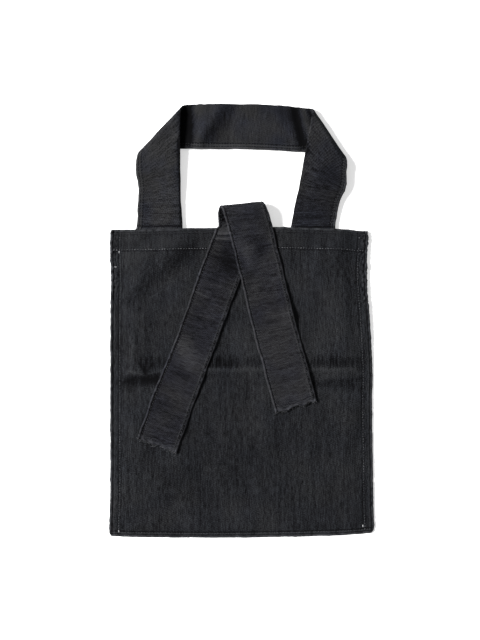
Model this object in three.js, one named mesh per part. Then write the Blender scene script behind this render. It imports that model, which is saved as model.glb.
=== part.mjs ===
// A flat denim tote bag lying on its back: two panels, one folded handle strap and one folded tie strap.
// Lengths are in millimetres. X runs across the bag, Y from its foot to its handle, Z up from the surface.
import * as THREE from "three";

// The bag
const bagWidth = 331.2; // widest place, just above the foot
const bagHeight = 387.4; // foot to the highest point of the mouth
const clothThickness = 1.2;
const sideBand = 12; // doubled seam allowance down each side
const footBand = 6; // doubled seam allowance along the foot
const hemDepth = 25.5; // doubled hem round the mouth
const bodySwell = 8.4; // free space between the two panels in the middle of the bag
const mouthSlack = 2.6; // how much more the mouth stands open than the handle's legs need
const footRise = 12; // length over which the front panel climbs from the foot band
const sideRiseShare = 0.85; // part of the way from side band to handle leg in which the front panel climbs
const shoulderShare = 0.8; // part of the climb that is done there, the rest rises softly to the middle
const crownShare = 0.33; // distance from the side at which the front panel is highest, of bagWidth
const mouthReach = 76; // length below the mouth over which the panel goes from body height to mouth height
const layerGap = 0.3; // clearance between cloths that lie on each other
const edgeRound = 1.2; // width of the rounded rim of a cloth edge
const foldStepWidth = 2; // width of the step from doubled to single cloth
const rimPinch = 0.33; // part of a panel's thickness that its rounded rim loses on each face
const strapEdgeShare = 0.6; // thickness of a strap along its two edges, of its middle thickness
const bridgeWidening = 2.2; // how much wider than a fold the rise of a strap that lies across it is

// The handle strap
const handleWidth = 56;
const strapThickness = 2.2; // both straps are cloth folded double and sewn along one edge
const handleRise = 154.5; // mouth to the far edge of the cross piece
const leftLegInset = 34; // from the bag's widest side line to the left leg's outer edge
const rightLegInset = 48;
const rightLegLean = 10.6; // degrees outward from straight up
const legTuck = 22; // length of each leg inside the mouth
const leftFoldAngle = 46.7; // degrees of the left corner's fold line from +X
const rightFoldAngle = 123.9;
const foldRadius = 3.3; // middle of the cloth where the strap turns under
const foldStep = 14; // from a leg's centre at its fold up to the cross piece's centreline
const crossDrop = 5; // how much lower the cross piece ends at the right than at the left
const floorGap = 0.3; // height of the lowest cloth of the straps above the surface
const skewStart = 0.15; // part of a leg that stays square before its cross lines turn to the fold
const crossSkewShare = 0.3; // part of the cross piece at each end over which its cross lines turn square

// The tie strap
const tieWidth = 54;
const leftTieDrop = 271; // mouth to the left end, down the bag
const rightTieDrop = 224;
const leftTieSwing = 102; // how far the left end lies from the loop, sideways
const rightTieSwing = 63;
const loopReach = 29; // mouth to the far side of the loop
const loopRadius = 7.6; // middle of the cloth where the tie turns over
const loopAngle = 5.8; // degrees of the loop's axis from +X
const loopShift = 7.5; // sideways step of the tie's centreline in the loop
const loopCentre = -3.4; // centreline of the lower run at the loop, from the bag's middle
const crossingTaper = 16; // length over which the upper run comes down beside the lower run
const crossingMargin = 1; // how far past the lower run's edge the upper run stays at full height
const mouthLead = 0.15; // part of the loop's reach in which the tie still lies level over the mouth
const tieSkewShare = 0.13; // part of each run at the mouth over which its cross lines turn to the loop

// Steps of the grids, along and across each piece
const frontSteps = { climb: 4, body: 14, low: 8, crease: 8, high: 9 };
const backSteps = { climb: 1, body: 6, low: 4, crease: 1, high: 6 };
const handleSteps = { tuck: 2, leg: 8, corner: 8, cross: 14, across: 4 };
const tieSteps = { up: 18, overMouth: 6, turn: 10, backOver: 5, down: 20, across: 8 };

// Denim shades
const panelShade = { colour: 0x292a2c, roughness: 0.92 };
const handleShade = { colour: 0x2e2f33, roughness: 0.9 };
const tieShade = { colour: 0x292a2e, roughness: 0.9 };

// The bag's two side lines from foot to mouth: how far each lies in from the widest place, of bagWidth
const sideLine = [
  { at: 0.0, left: 0.009, right: 0.012 },
  { at: 0.01, left: 0.001, right: 0.003 },
  { at: 0.02, left: 0.0, right: 0.0 },
  { at: 0.072, left: 0.0015, right: 0.0026 },
  { at: 0.155, left: 0.004, right: 0.0042 },
  { at: 0.446, left: 0.0042, right: 0.0083 },
  { at: 0.52, left: 0.0045, right: 0.006 },
  { at: 0.64, left: 0.0045, right: 0.0124 },
  { at: 0.74, left: 0.0055, right: 0.0196 },
  { at: 0.835, left: 0.0079, right: 0.0286 },
  { at: 0.945, left: 0.0045, right: 0.0255 },
  { at: 0.975, left: 0.0055, right: 0.0226 },
  { at: 1.0, left: 0.008, right: 0.0249 },
];

// Foot and mouth from left to right: how far each lies in from its outermost point, of bagHeight
const endLine = [
  { at: 0.0, foot: 0.0045, mouth: 0.008 },
  { at: 0.03, foot: 0.0032, mouth: 0.008 },
  { at: 0.15, foot: 0.0019, mouth: 0.007 },
  { at: 0.36, foot: 0.0, mouth: 0.0032 },
  { at: 0.63, foot: 0.0023, mouth: 0.0 },
  { at: 0.78, foot: 0.0051, mouth: 0.003 },
  { at: 0.9, foot: 0.0087, mouth: 0.006 },
  { at: 0.96, foot: 0.0125, mouth: 0.011 },
  { at: 1.0, foot: 0.0145, mouth: 0.0125 },
];

// Folds of the front panel: ends as shares across and up the bag, width and height as shares of bodySwell
const panelFolds = [
  { x0: 0.0, y0: 0.54, x1: 1.0, y1: 0.545, width: 0.8, height: 0.16 }, // ridge where the bag was folded away
  { x0: 0.03, y0: 0.5, x1: 0.98, y1: 0.505, width: 1.6, height: -0.1 }, // hollow below that ridge
  { x0: 0.3, y0: 0.95, x1: 0.1, y1: 0.74, width: 1.5, height: 0.12 }, // soft slanting fold under the left leg
  { x0: 0.17, y0: 0.9, x1: 0.06, y1: 0.63, width: 1.3, height: -0.08 },
  { x0: 0.8, y0: 0.9, x1: 0.93, y1: 0.62, width: 1.8, height: 0.1 }, // soft fold under the right leg
];

// Left leg from mouth to fold: centreline aside and width, of handleWidth
const leftLegLine = [
  { at: 0.0, aside: 0.01, width: 1.04 },
  { at: 0.3, aside: 0.02, width: 0.96 },
  { at: 0.55, aside: 0.015, width: 0.94 },
  { at: 0.8, aside: -0.005, width: 0.98 },
  { at: 1.0, aside: 0.0, width: 1.0 },
];

// Right leg from mouth to fold, in the same columns
const rightLegLine = [
  { at: 0.0, aside: -0.01, width: 0.98 },
  { at: 0.3, aside: -0.015, width: 0.96 },
  { at: 0.62, aside: 0.03, width: 1.04 },
  { at: 1.0, aside: 0.0, width: 0.98 },
];

// Cross piece from the left fold to the right: drop of crossDrop, lift of foldRadius, width of handleWidth
const crossLine = [
  { at: 0.0, drop: 0.15, lift: 0.0, width: 1.0 },
  { at: 0.18, drop: 0.1, lift: 0.75, width: 1.01 },
  { at: 0.33, drop: 0.1, lift: 0.1, width: 1.01 },
  { at: 0.55, drop: 0.2, lift: 0.5, width: 1.01 },
  { at: 0.75, drop: 0.6, lift: 0.2, width: 1.02 },
  { at: 0.88, drop: 0.9, lift: 0.5, width: 1.01 },
  { at: 1.0, drop: 1.1, lift: 0.0, width: 0.98 },
];

// Left run of the tie from mouth to end: aside of leftTieSwing, width of tieWidth
const leftTieLine = [
  { at: 0.0, aside: 0.02, width: 0.97 },
  { at: 0.055, aside: 0.063, width: 0.96 },
  { at: 0.245, aside: 0.254, width: 0.95 },
  { at: 0.45, aside: 0.451, width: 0.93 },
  { at: 0.58, aside: 0.578, width: 0.92 },
  { at: 0.78, aside: 0.79, width: 0.97 },
  { at: 1.0, aside: 1.0, width: 0.97 },
];

// Right run of the tie from mouth to end, in the same columns
const rightTieLine = [
  { at: 0.0, aside: 0.1, width: 1.0 },
  { at: 0.123, aside: 0.2, width: 1.0 },
  { at: 0.285, aside: 0.35, width: 1.0 },
  { at: 0.514, aside: 0.54, width: 1.0 },
  { at: 0.77, aside: 0.79, width: 1.01 },
  { at: 1.0, aside: 1.0, width: 1.0 },
];

const radians = Math.PI / 180;
const headingStep = 0.02; // share of a run over which its heading is taken
const creaseReach = 3; // closely spaced rows on each side of the crease, in widths of its ridge
const bandTop = 4 * clothThickness + layerGap; // both doubled bands on each other
const backHemTop = 2 * clothThickness;
const bodyTop = 2 * clothThickness + bodySwell;
const mouthTop = backHemTop + layerGap + strapThickness + layerGap + 2 * clothThickness + mouthSlack;
const sideRise = sideRiseShare * (leftLegInset - sideBand);

const mix = (a, b, t) => a + (b - a) * t;

// Soft step from 0 to 1 while t goes from 0 to 1
function ease(t) {
  const s = THREE.MathUtils.clamp(t, 0, 1);
  return s * s * (3 - 2 * s);
}

// Value of a column at a share along a table, on a cubic curve through its rows
function along(table, share, column) {
  const t = THREE.MathUtils.clamp(share, 0, 1);
  let i = 0;
  while (i < table.length - 2 && table[i + 1].at < t) i += 1;
  const slope = (k) => {
    const before = table[Math.max(k - 1, 0)];
    const after = table[Math.min(k + 1, table.length - 1)];
    return (after[column] - before[column]) / (after.at - before.at);
  };
  const span = table[i + 1].at - table[i].at;
  const s = (t - table[i].at) / span;
  const hump = s * (1 - s);
  const straight = mix(table[i][column], table[i + 1][column], ease(s));
  return straight + span * hump * ((1 - s) * slope(i) - s * slope(i + 1));
}

// Place on the bag at a share across and a share up
function bagPoint(across, up) {
  const left = bagWidth * (along(sideLine, up, "left") - 0.5);
  const right = bagWidth * (0.5 - along(sideLine, up, "right"));
  const foot = bagHeight * along(endLine, across, "foot");
  const mouth = bagHeight * (1 - along(endLine, across, "mouth"));
  return { x: mix(left, right, across), y: mix(foot, mouth, up) };
}

// Shares across and up the bag of a place, found by closing in on it
function bagShares(x, y) {
  let across = 0.5 + x / bagWidth;
  let up = y / bagHeight;
  for (let round = 0; round < 4; round += 1) {
    const found = bagPoint(across, up);
    across += (x - found.x) / bagWidth;
    up += (y - found.y) / bagHeight;
  }
  return { across, up };
}

// 1 on the doubled bands and the hem, 0 on single cloth
function doubled(across, up) {
  const onBand = (distance, band) => 1 - ease((distance - band) / foldStepWidth + 0.5);
  const side = onBand(Math.min(across, 1 - across) * bagWidth, sideBand);
  const foot = onBand(up * bagHeight, footBand);
  const hem = onBand((1 - up) * bagHeight, hemDepth);
  return Math.max(side, foot, hem);
}

// 0 on the very edge of a panel, 1 once inside its rounded rim
function rimFullness(across, up) {
  const side = Math.min(across, 1 - across) * bagWidth;
  const end = Math.min(up, 1 - up) * bagHeight;
  return Math.min(1, Math.min(side, end) / edgeRound);
}

// Height that the folds add to the front panel, widened where something lies over them
function foldHeight(across, up, widen) {
  const fade = ease((Math.min(across, 1 - across) * bagWidth) / (2 * sideBand));
  let height = 0;
  for (const fold of panelFolds) {
    const a = new THREE.Vector2(fold.x0 * bagWidth, fold.y0 * bagHeight);
    const b = new THREE.Vector2(fold.x1 * bagWidth, fold.y1 * bagHeight);
    const p = new THREE.Vector2(across * bagWidth, up * bagHeight).sub(a);
    const line = b.sub(a);
    const share = THREE.MathUtils.clamp(p.dot(line) / line.lengthSq(), 0, 1);
    const distance = p.distanceTo(line.multiplyScalar(share));
    const width = fold.width * bodySwell * (fold.height > 0 ? widen : 1);
    const lift = widen > 1 ? Math.max(fold.height, 0) : fold.height;
    height += lift * bodySwell * Math.exp(-((distance / width) ** 2));
  }
  return height * fade;
}

// Outer face of the front panel: low on the bands, full in the body, open at the mouth
function frontTop(across, up, widen = 1) {
  const fromBand = Math.min(across, 1 - across) * bagWidth - sideBand;
  const crown = ease(fromBand / (crownShare * bagWidth - sideBand));
  const side = ease(fromBand / sideRise) * mix(shoulderShare, 1, crown);
  const foot = ease((up * bagHeight - footBand) / footRise);
  const nearMouth = ease(1 - ((1 - up) * bagHeight) / mouthReach);
  const full = mix(bodyTop, mouthTop, nearMouth) - bandTop;
  return bandTop + side * foot * (full + foldHeight(across, up, widen));
}

// Closed solid between two grids of points, the first lying on the side where rows cross columns
function closedGrid(upper, lower) {
  const rows = upper.length;
  const columns = upper[0].length;
  const positions = [...upper.flat(), ...lower.flat()].flatMap((p) => [p.x, p.y, p.z]);
  const top = (i, j) => i * columns + j;
  const under = (i, j) => rows * columns + i * columns + j;
  const index = [];
  const quad = (a, b, c, d) => index.push(a, b, c, a, c, d);
  for (let i = 0; i < rows - 1; i += 1) {
    for (let j = 0; j < columns - 1; j += 1) {
      quad(top(i, j), top(i + 1, j), top(i + 1, j + 1), top(i, j + 1));
      quad(under(i, j), under(i, j + 1), under(i + 1, j + 1), under(i + 1, j));
    }
    const last = columns - 1;
    quad(under(i, 0), under(i + 1, 0), top(i + 1, 0), top(i, 0));
    quad(top(i, last), top(i + 1, last), under(i + 1, last), under(i, last));
  }
  for (let j = 0; j < columns - 1; j += 1) {
    const last = rows - 1;
    quad(under(0, j), top(0, j), top(0, j + 1), under(0, j + 1));
    quad(under(last, j + 1), top(last, j + 1), top(last, j), under(last, j));
  }
  const geometry = new THREE.BufferGeometry();
  geometry.setAttribute("position", new THREE.Float32BufferAttribute(positions, 3));
  geometry.setIndex(index);
  geometry.computeVertexNormals();
  return geometry;
}

// Evenly spaced values from one end to the other, both ends in
function spread(from, to, steps) {
  const count = Math.round(steps);
  return Array.from({ length: count + 1 }, (_, k) => mix(from, to, k / count));
}

// Shares across a panel, close together at its rims, band edges and climbs
function panelColumns(steps) {
  const halfStep = foldStepWidth / 2;
  const climb = spread(sideBand + halfStep, sideBand + sideRise, steps.climb);
  const left = [0, edgeRound, sideBand - halfStep, ...climb].map((d) => d / bagWidth);
  const right = left.map((share) => 1 - share).reverse();
  const body = spread(left[left.length - 1], right[0], steps.body).slice(1, -1);
  return [...left, ...body, ...right];
}

// Shares up a panel, close together at foot, hem and the folded-away crease
function panelRows(steps) {
  const halfStep = foldStepWidth / 2;
  const climb = spread(footBand + halfStep, footBand + footRise, steps.climb);
  const foot = [0, edgeRound, footBand - halfStep, ...climb].map((d) => d / bagHeight);
  const crease = panelFolds[0];
  const reach = (creaseReach * crease.width * bodySwell) / bagHeight;
  const creaseRows = spread(crease.y0 - reach, crease.y1 + reach, steps.crease);
  const hem = [hemDepth + halfStep, hemDepth - halfStep, hemDepth / 2, edgeRound, 0];
  const hemRows = hem.map((d) => 1 - d / bagHeight);
  const low = spread(foot[foot.length - 1], creaseRows[0], steps.low).slice(1, -1);
  const high = spread(creaseRows[creaseRows.length - 1], hemRows[0], steps.high).slice(1, -1);
  return [...foot, ...low, ...creaseRows, ...high, ...hemRows];
}

// Panel solid from a rule that gives its lower and upper height at each place
function panelSolid(columns, rows, heights) {
  const upper = [];
  const lower = [];
  for (const across of columns) {
    const upperColumn = [];
    const lowerColumn = [];
    for (const up of rows) {
      const { x, y } = bagPoint(across, up);
      const { low, high } = heights(across, up);
      const pinch = rimPinch * (1 - rimFullness(across, up)) * (high - low);
      upperColumn.push(new THREE.Vector3(x, y, high - pinch));
      lowerColumn.push(new THREE.Vector3(x, y, low + pinch));
    }
    upper.push(upperColumn);
    lower.push(lowerColumn);
  }
  return closedGrid(upper, lower);
}

// Flat panel that the bag lies on, thicker at its bands and hem
function backPanel() {
  const heights = (across, up) => ({ low: 0, high: clothThickness * (1 + doubled(across, up)) });
  return panelSolid(panelColumns(backSteps), panelRows(backSteps), heights);
}

// Upper panel, domed over the bag's inside
function frontPanel() {
  const heights = (across, up) => {
    const high = frontTop(across, up);
    return { low: high - clothThickness * (1 + doubled(across, up)), high };
  };
  return panelSolid(panelColumns(frontSteps), panelRows(frontSteps), heights);
}

// Strap solid through stations, each with its centre, the direction across it and its full length across
function strapSolid(stations, acrossSteps) {
  const middle = stations.map((station) =>
    spread(-0.5, 0.5, acrossSteps).map((share) => {
      const x = station.x + share * station.length * Math.cos(station.ruling * radians);
      const y = station.y + share * station.length * Math.sin(station.ruling * radians);
      return new THREE.Vector3(x, y, station.height(x, y));
    }),
  );
  const upper = [];
  const lower = [];
  middle.forEach((row, i) => {
    const before = middle[Math.max(i - 1, 0)];
    const after = middle[Math.min(i + 1, middle.length - 1)];
    const upperRow = [];
    const lowerRow = [];
    const last = row.length - 1;
    row.forEach((p, j) => {
      const lengthwise = after[j].clone().sub(before[j]);
      const crosswise = row[Math.min(j + 1, last)].clone().sub(row[Math.max(j - 1, 0)]);
      const normal = lengthwise.cross(crosswise).normalize();
      const onEdge = j === 0 || j === last;
      const half = (strapThickness / 2) * (onEdge ? strapEdgeShare : 1);
      upperRow.push(p.clone().addScaledVector(normal, half));
      lowerRow.push(p.clone().addScaledVector(normal, -half));
    });
    upper.push(upperRow);
    lower.push(lowerRow);
  });
  return closedGrid(upper, lower);
}

// One station whose cross line may lie askew, so that its length still gives the strap's true width
function station(x, y, heading, ruling, width, height) {
  const length = width / Math.abs(Math.sin((ruling - heading) * radians));
  return { x, y, ruling, length, height: typeof height === "function" ? height : () => height };
}

// Stations round a half turn between two stations and heights, whose cross lines keep one direction
function halfTurn(from, to, startHeight, endHeight, ruling, outward, steps) {
  const radius = Math.abs(endHeight - startHeight) / 2;
  const turn = [];
  for (let k = 1; k < steps; k += 1) {
    const angle = (Math.PI * k) / steps;
    const reach = radius * Math.sin(angle);
    const x = mix(from.x, to.x, k / steps) + reach * Math.cos(outward * radians);
    const y = mix(from.y, to.y, k / steps) + reach * Math.sin(outward * radians);
    const length = mix(from.length, to.length, k / steps);
    const height = mix(startHeight, endHeight, (1 - Math.cos(angle)) / 2);
    turn.push({ x, y, ruling, length, height: () => height });
  }
  return turn;
}

// Stations of one leg from inside the mouth up to its fold
function legStations(baseX, lean, foldRuling, table, foldCentreY) {
  const insideHeight = backHemTop + layerGap + strapThickness / 2;
  const foldHeightAbove = floorGap + strapThickness / 2 + 2 * foldRadius;
  const heading = 90 - lean;
  const centreX = (y) => baseX + Math.tan(lean * radians) * Math.max(y - bagHeight, 0);
  const mouthLine = bagHeight * (1 - along(endLine, 0.5 + baseX / bagWidth, "mouth"));
  const tucked = spread(mouthLine - legTuck, mouthLine, handleSteps.tuck).map((y) =>
    station(centreX(y), y, 90, 0, handleWidth * table[0].width, insideHeight),
  );
  const free = spread(0, 1, handleSteps.leg).slice(1).map((t) => {
    const y = mix(mouthLine, foldCentreY, t);
    const x = centreX(y) + handleWidth * along(table, t, "aside");
    const ruling = mix(0, foldRuling, ease((t - skewStart) / (1 - skewStart)));
    const height = mix(insideHeight, foldHeightAbove, ease(t));
    return station(x, y, heading, ruling, handleWidth * along(table, t, "width"), height);
  });
  return [...tucked, ...free];
}

// Handle: left leg up, under at the left corner, across, out at the right corner and down the right leg
function handleStations() {
  const centreY = bagHeight + handleRise - handleWidth / 2;
  const restHeight = floorGap + strapThickness / 2;
  const topHeight = restHeight + 2 * foldRadius;
  const leftX = -bagWidth / 2 + leftLegInset + handleWidth / 2;
  const rightX = bagWidth / 2 - rightLegInset - handleWidth / 2;
  const crossY = (t) => centreY - crossDrop * along(crossLine, t, "drop");
  const leftFoldY = crossY(0) - foldStep;
  const rightFoldY = crossY(1) - foldStep;
  const leftLeg = legStations(leftX, 0, leftFoldAngle, leftLegLine, leftFoldY);
  const rightLeg = legStations(rightX, rightLegLean, rightFoldAngle - 180, rightLegLine, rightFoldY);
  const leftFold = leftLeg[leftLeg.length - 1];
  const rightFold = rightLeg[rightLeg.length - 1];
  const leftStart = { x: leftFold.x + foldStep / Math.tan(leftFoldAngle * radians), y: crossY(0) };
  const rightStart = { x: rightFold.x + foldStep / Math.tan(rightFoldAngle * radians), y: crossY(1) };
  const cross = spread(0, 1, handleSteps.cross).map((t) => {
    const x = mix(leftStart.x, rightStart.x, t);
    const fromLeft = ease(t / crossSkewShare);
    const toRight = ease(1 - (1 - t) / crossSkewShare);
    const ruling = mix(mix(leftFoldAngle, 90, fromLeft), rightFoldAngle, toRight);
    const height = restHeight + foldRadius * along(crossLine, t, "lift");
    return station(x, crossY(t), 0, ruling, handleWidth * along(crossLine, t, "width"), height);
  });
  const corner = (from, to, ruling, outward) =>
    halfTurn(from, to, topHeight, restHeight, ruling, outward, handleSteps.corner);
  const leftTurn = corner(leftFold, cross[0], leftFoldAngle, leftFoldAngle + 90);
  const rightTurn = corner(rightFold, cross[cross.length - 1], rightFoldAngle, rightFoldAngle - 90);
  const downRight = [...rightLeg].reverse().map((s) => ({ ...s, ruling: s.ruling + 180 }));
  return [...leftLeg, ...leftTurn, ...cross, ...rightTurn.reverse(), ...downRight];
}

// Centreline of one run of the tie at a share of its drop, with its heading and width
function tieRun(table, drop, swing, startX, share) {
  const place = (t) => ({
    x: startX + swing * along(table, t, "aside"),
    y: bagHeight - drop * t,
  });
  const here = place(share);
  const ahead = place(Math.min(share + headingStep, 1));
  const behind = place(Math.max(share - headingStep, 0));
  const heading = Math.atan2(ahead.y - behind.y, ahead.x - behind.x) / radians;
  return { ...here, heading, width: tieWidth * along(table, share, "width") };
}

const lowerRun = (share) => tieRun(leftTieLine, leftTieDrop, -leftTieSwing, loopCentre, share);
const upperRun = (share) => tieRun(rightTieLine, rightTieDrop, rightTieSwing, loopCentre + loopShift, share);

// How fully the lower run lies under a place: 1 over it, falling to 0 beside it
function overLowerRun(x, y) {
  const run = lowerRun(THREE.MathUtils.clamp((bagHeight - y) / leftTieDrop, 0, 1));
  const beside = (x - run.x) * Math.abs(Math.sin(run.heading * radians)) - run.width / 2;
  return 1 - ease((beside - crossingMargin) / crossingTaper);
}

// Middle of a strap that lies on the front panel
function onPanel(x, y) {
  const { across, up } = bagShares(x, y);
  return frontTop(across, Math.min(up, 1), bridgeWidening) + layerGap + strapThickness / 2;
}

// Middle of a strap that lies on the front panel and, where it crosses it, on the lower run
function onLowerRun(x, y) {
  return onPanel(x, y) + overLowerRun(x, y) * (strapThickness + layerGap);
}

// Tie: left end up the bag, over the mouth, down to the surface, round the loop and down to the right end
function tieStations() {
  const restHeight = floorGap + strapThickness / 2;
  const loopTop = restHeight + 2 * loopRadius;
  const turnY = bagHeight + loopReach - loopRadius - strapThickness / 2;
  const mouthHeight = onPanel(loopCentre, bagHeight);
  const low = [];
  for (const t of spread(1, 0, tieSteps.up)) {
    const run = lowerRun(t);
    const ruling = mix(run.heading + 90, loopAngle, ease(1 - t / tieSkewShare));
    low.push(station(run.x, run.y, run.heading, ruling, run.width, onPanel));
  }
  const mouthWidth = lowerRun(0).width;
  for (const t of spread(mouthLead, 1, tieSteps.overMouth)) {
    const height = mix(mouthHeight, restHeight, ease((t - mouthLead) / (1 - mouthLead)));
    low.push(station(loopCentre, mix(bagHeight, turnY, t), 90, loopAngle, mouthWidth, height));
  }
  const overY = turnY + loopShift * Math.tan(loopAngle * radians);
  const over = station(loopCentre + loopShift, overY, 90, loopAngle, tieWidth, loopTop);
  const under = low[low.length - 1];
  const turn = halfTurn(under, over, restHeight, loopTop, loopAngle, loopAngle + 90, tieSteps.turn);
  const high = [];
  for (const t of spread(0, 1 - mouthLead, tieSteps.backOver)) {
    const y = mix(over.y, bagHeight, t);
    const x = mix(over.x, upperRun(0).x, t);
    const height = mix(loopTop, onLowerRun(upperRun(0).x, bagHeight), ease(t));
    high.push(station(x, y, -90, loopAngle, tieWidth, height));
  }
  for (const t of spread(0, 1, tieSteps.down)) {
    const run = upperRun(t);
    const ruling = mix(run.heading + 90, loopAngle, ease(1 - t / tieSkewShare));
    high.push(station(run.x, run.y, run.heading, ruling, run.width, onLowerRun));
  }
  return [...low, ...turn, ...high];
}

// Named piece of the bag in denim of one shade
function addPiece(group, name, geometry, shade) {
  const material = new THREE.MeshStandardMaterial({ color: shade.colour, roughness: shade.roughness });
  const mesh = new THREE.Mesh(geometry, material);
  mesh.name = name;
  group.add(mesh);
}

const tote = new THREE.Group();
addPiece(tote, "back_panel", backPanel(), panelShade);
addPiece(tote, "front_panel", frontPanel(), panelShade);
addPiece(tote, "handle_strap", strapSolid(handleStations(), handleSteps.across), handleShade);
addPiece(tote, "tie_strap", strapSolid(tieStations(), tieSteps.across), tieShade);

// The origin is the middle of the bag's footprint, on the surface it lies on
const outline = new THREE.Box3().setFromObject(tote);
const centre = outline.getCenter(new THREE.Vector3());
tote.position.set(-centre.x, -centre.y, -outline.min.z);

export default tote;
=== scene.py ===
import bpy
import numpy as np
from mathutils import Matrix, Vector


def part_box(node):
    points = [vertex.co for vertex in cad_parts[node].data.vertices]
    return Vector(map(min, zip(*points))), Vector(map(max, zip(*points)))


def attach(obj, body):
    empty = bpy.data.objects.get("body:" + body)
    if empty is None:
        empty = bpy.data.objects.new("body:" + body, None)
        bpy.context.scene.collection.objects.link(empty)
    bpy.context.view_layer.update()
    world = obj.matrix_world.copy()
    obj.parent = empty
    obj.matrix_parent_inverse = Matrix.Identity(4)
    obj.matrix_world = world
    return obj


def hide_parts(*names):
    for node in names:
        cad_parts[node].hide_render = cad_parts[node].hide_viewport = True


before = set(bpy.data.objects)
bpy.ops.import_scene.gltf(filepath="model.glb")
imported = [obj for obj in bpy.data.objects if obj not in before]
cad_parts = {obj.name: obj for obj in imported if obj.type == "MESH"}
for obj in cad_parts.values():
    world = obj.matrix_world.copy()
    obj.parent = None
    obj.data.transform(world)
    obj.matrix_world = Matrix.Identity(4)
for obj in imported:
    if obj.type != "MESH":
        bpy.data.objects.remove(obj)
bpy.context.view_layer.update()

print("frame loaded")

frontLow, frontHigh = (np.array(corner) * 1000 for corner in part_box("front_panel"))
backHigh = np.array(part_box("back_panel")[1]) * 1000
handleHigh = np.array(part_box("handle_strap")[1]) * 1000

bag = {
    "width": frontHigh[0] - frontLow[0],  # widest place, just above the foot
    "height": frontHigh[1] - frontLow[1],  # foot to the highest point of the mouth
    "footY": frontLow[1],  # where the foot lies in the frame
    "cloth": backHigh[2] / 2,  # the hem is double cloth and lies flat
    "sideBand": 12,  # doubled seam allowance down each side
    "footBand": 6,
    "hemDepth": 25.5,
    "swell": 7.4,  # free space between the panels in the middle
    "mouthSlack": 2.6,  # how much more the mouth stands open than the handle's legs need
    "footRise": 12,  # length over which the front climbs from the foot band
    "sideRise": 24,  # the same from each side band
    "shoulder": 0.5,  # part of the climb that is done there, and the same at the mouth
    "mouthShoulder": 0.68,
    "crown": 0.33,  # distance from the side of the highest place, of the width
    "mouthReach": 76,  # length over which the front goes from body height to mouth height
    "gap": 0.3,  # between cloths that lie on each other
    "foldStep": 2,  # width of the step from double to single cloth
    "pressed": 0.45,  # part of its height that the cloth loses along the sides of the lower half
    "pressedWidth": 20,
}

handle = {
    "width": 56,
    "thickness": 2.2,  # cloth folded double and sewn along one edge
    "rise": handleHigh[1] - frontHigh[1],  # mouth to the far edge of the cross piece
    "leftInset": 34,  # widest side line to the left leg's outer edge
    "rightInset": 48,
    "rightLean": 10.6,  # degrees outward
    "tuck": 22,  # length of each leg inside the mouth
    "leftFold": 46.7,  # degrees of the corner's fold line from +X
    "rightFold": 123.9,
    "foldRadius": 4.7,
    "foldStep": 14,  # from a leg's centre at its fold up to the cross piece's centreline
    "crossDrop": 5,  # how far the cross piece sags, times the shares of its line
    "floorGap": 0.3,
    "skewStart": 0.15,  # part of a leg that stays square before its cross lines turn to the fold
    "crossSkew": 0.3,  # part of the cross piece in which they turn square again
}

tie = {
    "width": 54,
    "thickness": 2.2,
    "leftDrop": 271,  # mouth to the left end, down the bag
    "rightDrop": 224,
    "leftSwing": 102,  # how far the left end lies from the loop, sideways
    "rightSwing": 63,
    "loopReach": 29,  # mouth to the far side of the loop
    "loopRadius": 7.6,
    "loopAngle": 5.8,  # degrees of the loop's axis from +X
    "loopShift": 7.5,  # sideways step of the centreline in the loop
    "loopCentre": -3.4,
    "crossingTaper": 16,  # length over which the upper run comes down beside the lower run
    "crossingMargin": 1,
    "mouthLead": 0.15,  # part of the way from the mouth to the loop's turn that belongs to the runs
    "skew": 0.13,  # part of a run in which its cross lines turn to the loop's axis
    "floorGap": 0.3,
    "bridge": 2.2,  # how much wider than a fold of the bag the rise of the tie over it is
}

sideLine = {  # how far each side lies in from the widest place, foot to mouth, as shares of the width
    "at": [0, 0.01, 0.02, 0.072, 0.155, 0.446, 0.52, 0.64, 0.74, 0.835, 0.945, 0.975, 1],
    "left": [0.009, 0.001, 0, 0.0015, 0.004, 0.0042, 0.0045, 0.0045, 0.0055, 0.0079, 0.0045, 0.0055, 0.008],
    "right": [0.012, 0.003, 0, 0.0026, 0.0042, 0.0083, 0.006, 0.0124, 0.0196, 0.0286, 0.0255, 0.0226,
              0.0249],
}
endLine = {  # how far foot and mouth lie in, left to right, as shares of the height
    "at": [0, 0.03, 0.15, 0.36, 0.63, 0.78, 0.9, 0.96, 1],
    "foot": [0.0045, 0.0032, 0.0019, 0, 0.0023, 0.0051, 0.0087, 0.0125, 0.0145],
    "mouth": [0.008, 0.008, 0.007, 0.0032, 0, 0.003, 0.006, 0.011, 0.0125],
}
panelFolds = {  # soft folds of the front: ends as shares across and up, width and height of the swell
    "x0": [0, 0.03, 0.3, 0.17, 0.8],
    "y0": [0.54, 0.5, 0.95, 0.9, 0.9],
    "x1": [1, 0.98, 0.1, 0.06, 0.93],
    "y1": [0.545, 0.505, 0.74, 0.63, 0.62],
    "width": [0.8, 1.6, 1.5, 1.3, 1.8],
    "height": [0.16, -0.1, 0.12, -0.08, 0.1],
}
leftLegLine = {  # centreline aside and width of a leg from mouth to fold, as shares of the strap's width
    "at": [0, 0.3, 0.55, 0.8, 1],
    "aside": [0.01, 0.02, 0.015, -0.005, 0],
    "width": [1.04, 0.96, 0.94, 0.98, 1],
}
rightLegLine = {
    "at": [0, 0.3, 0.62, 1],
    "aside": [-0.01, -0.015, 0.03, 0],
    "width": [0.98, 0.96, 1.04, 0.98],
}
crossLine = {  # cross piece, left to right: shares of its drop, of the fold radius and of the strap's width
    "at": [0, 0.18, 0.33, 0.55, 0.75, 0.88, 1],
    "drop": [0.15, 0.1, 0.1, 0.2, 0.6, 0.9, 1.1],
    "lift": [0, 0.5, 0.1, 0.4, 0.2, 0.4, 0],
    "width": [1, 1.01, 1.01, 1.01, 1.02, 1.01, 0.98],
}
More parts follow.
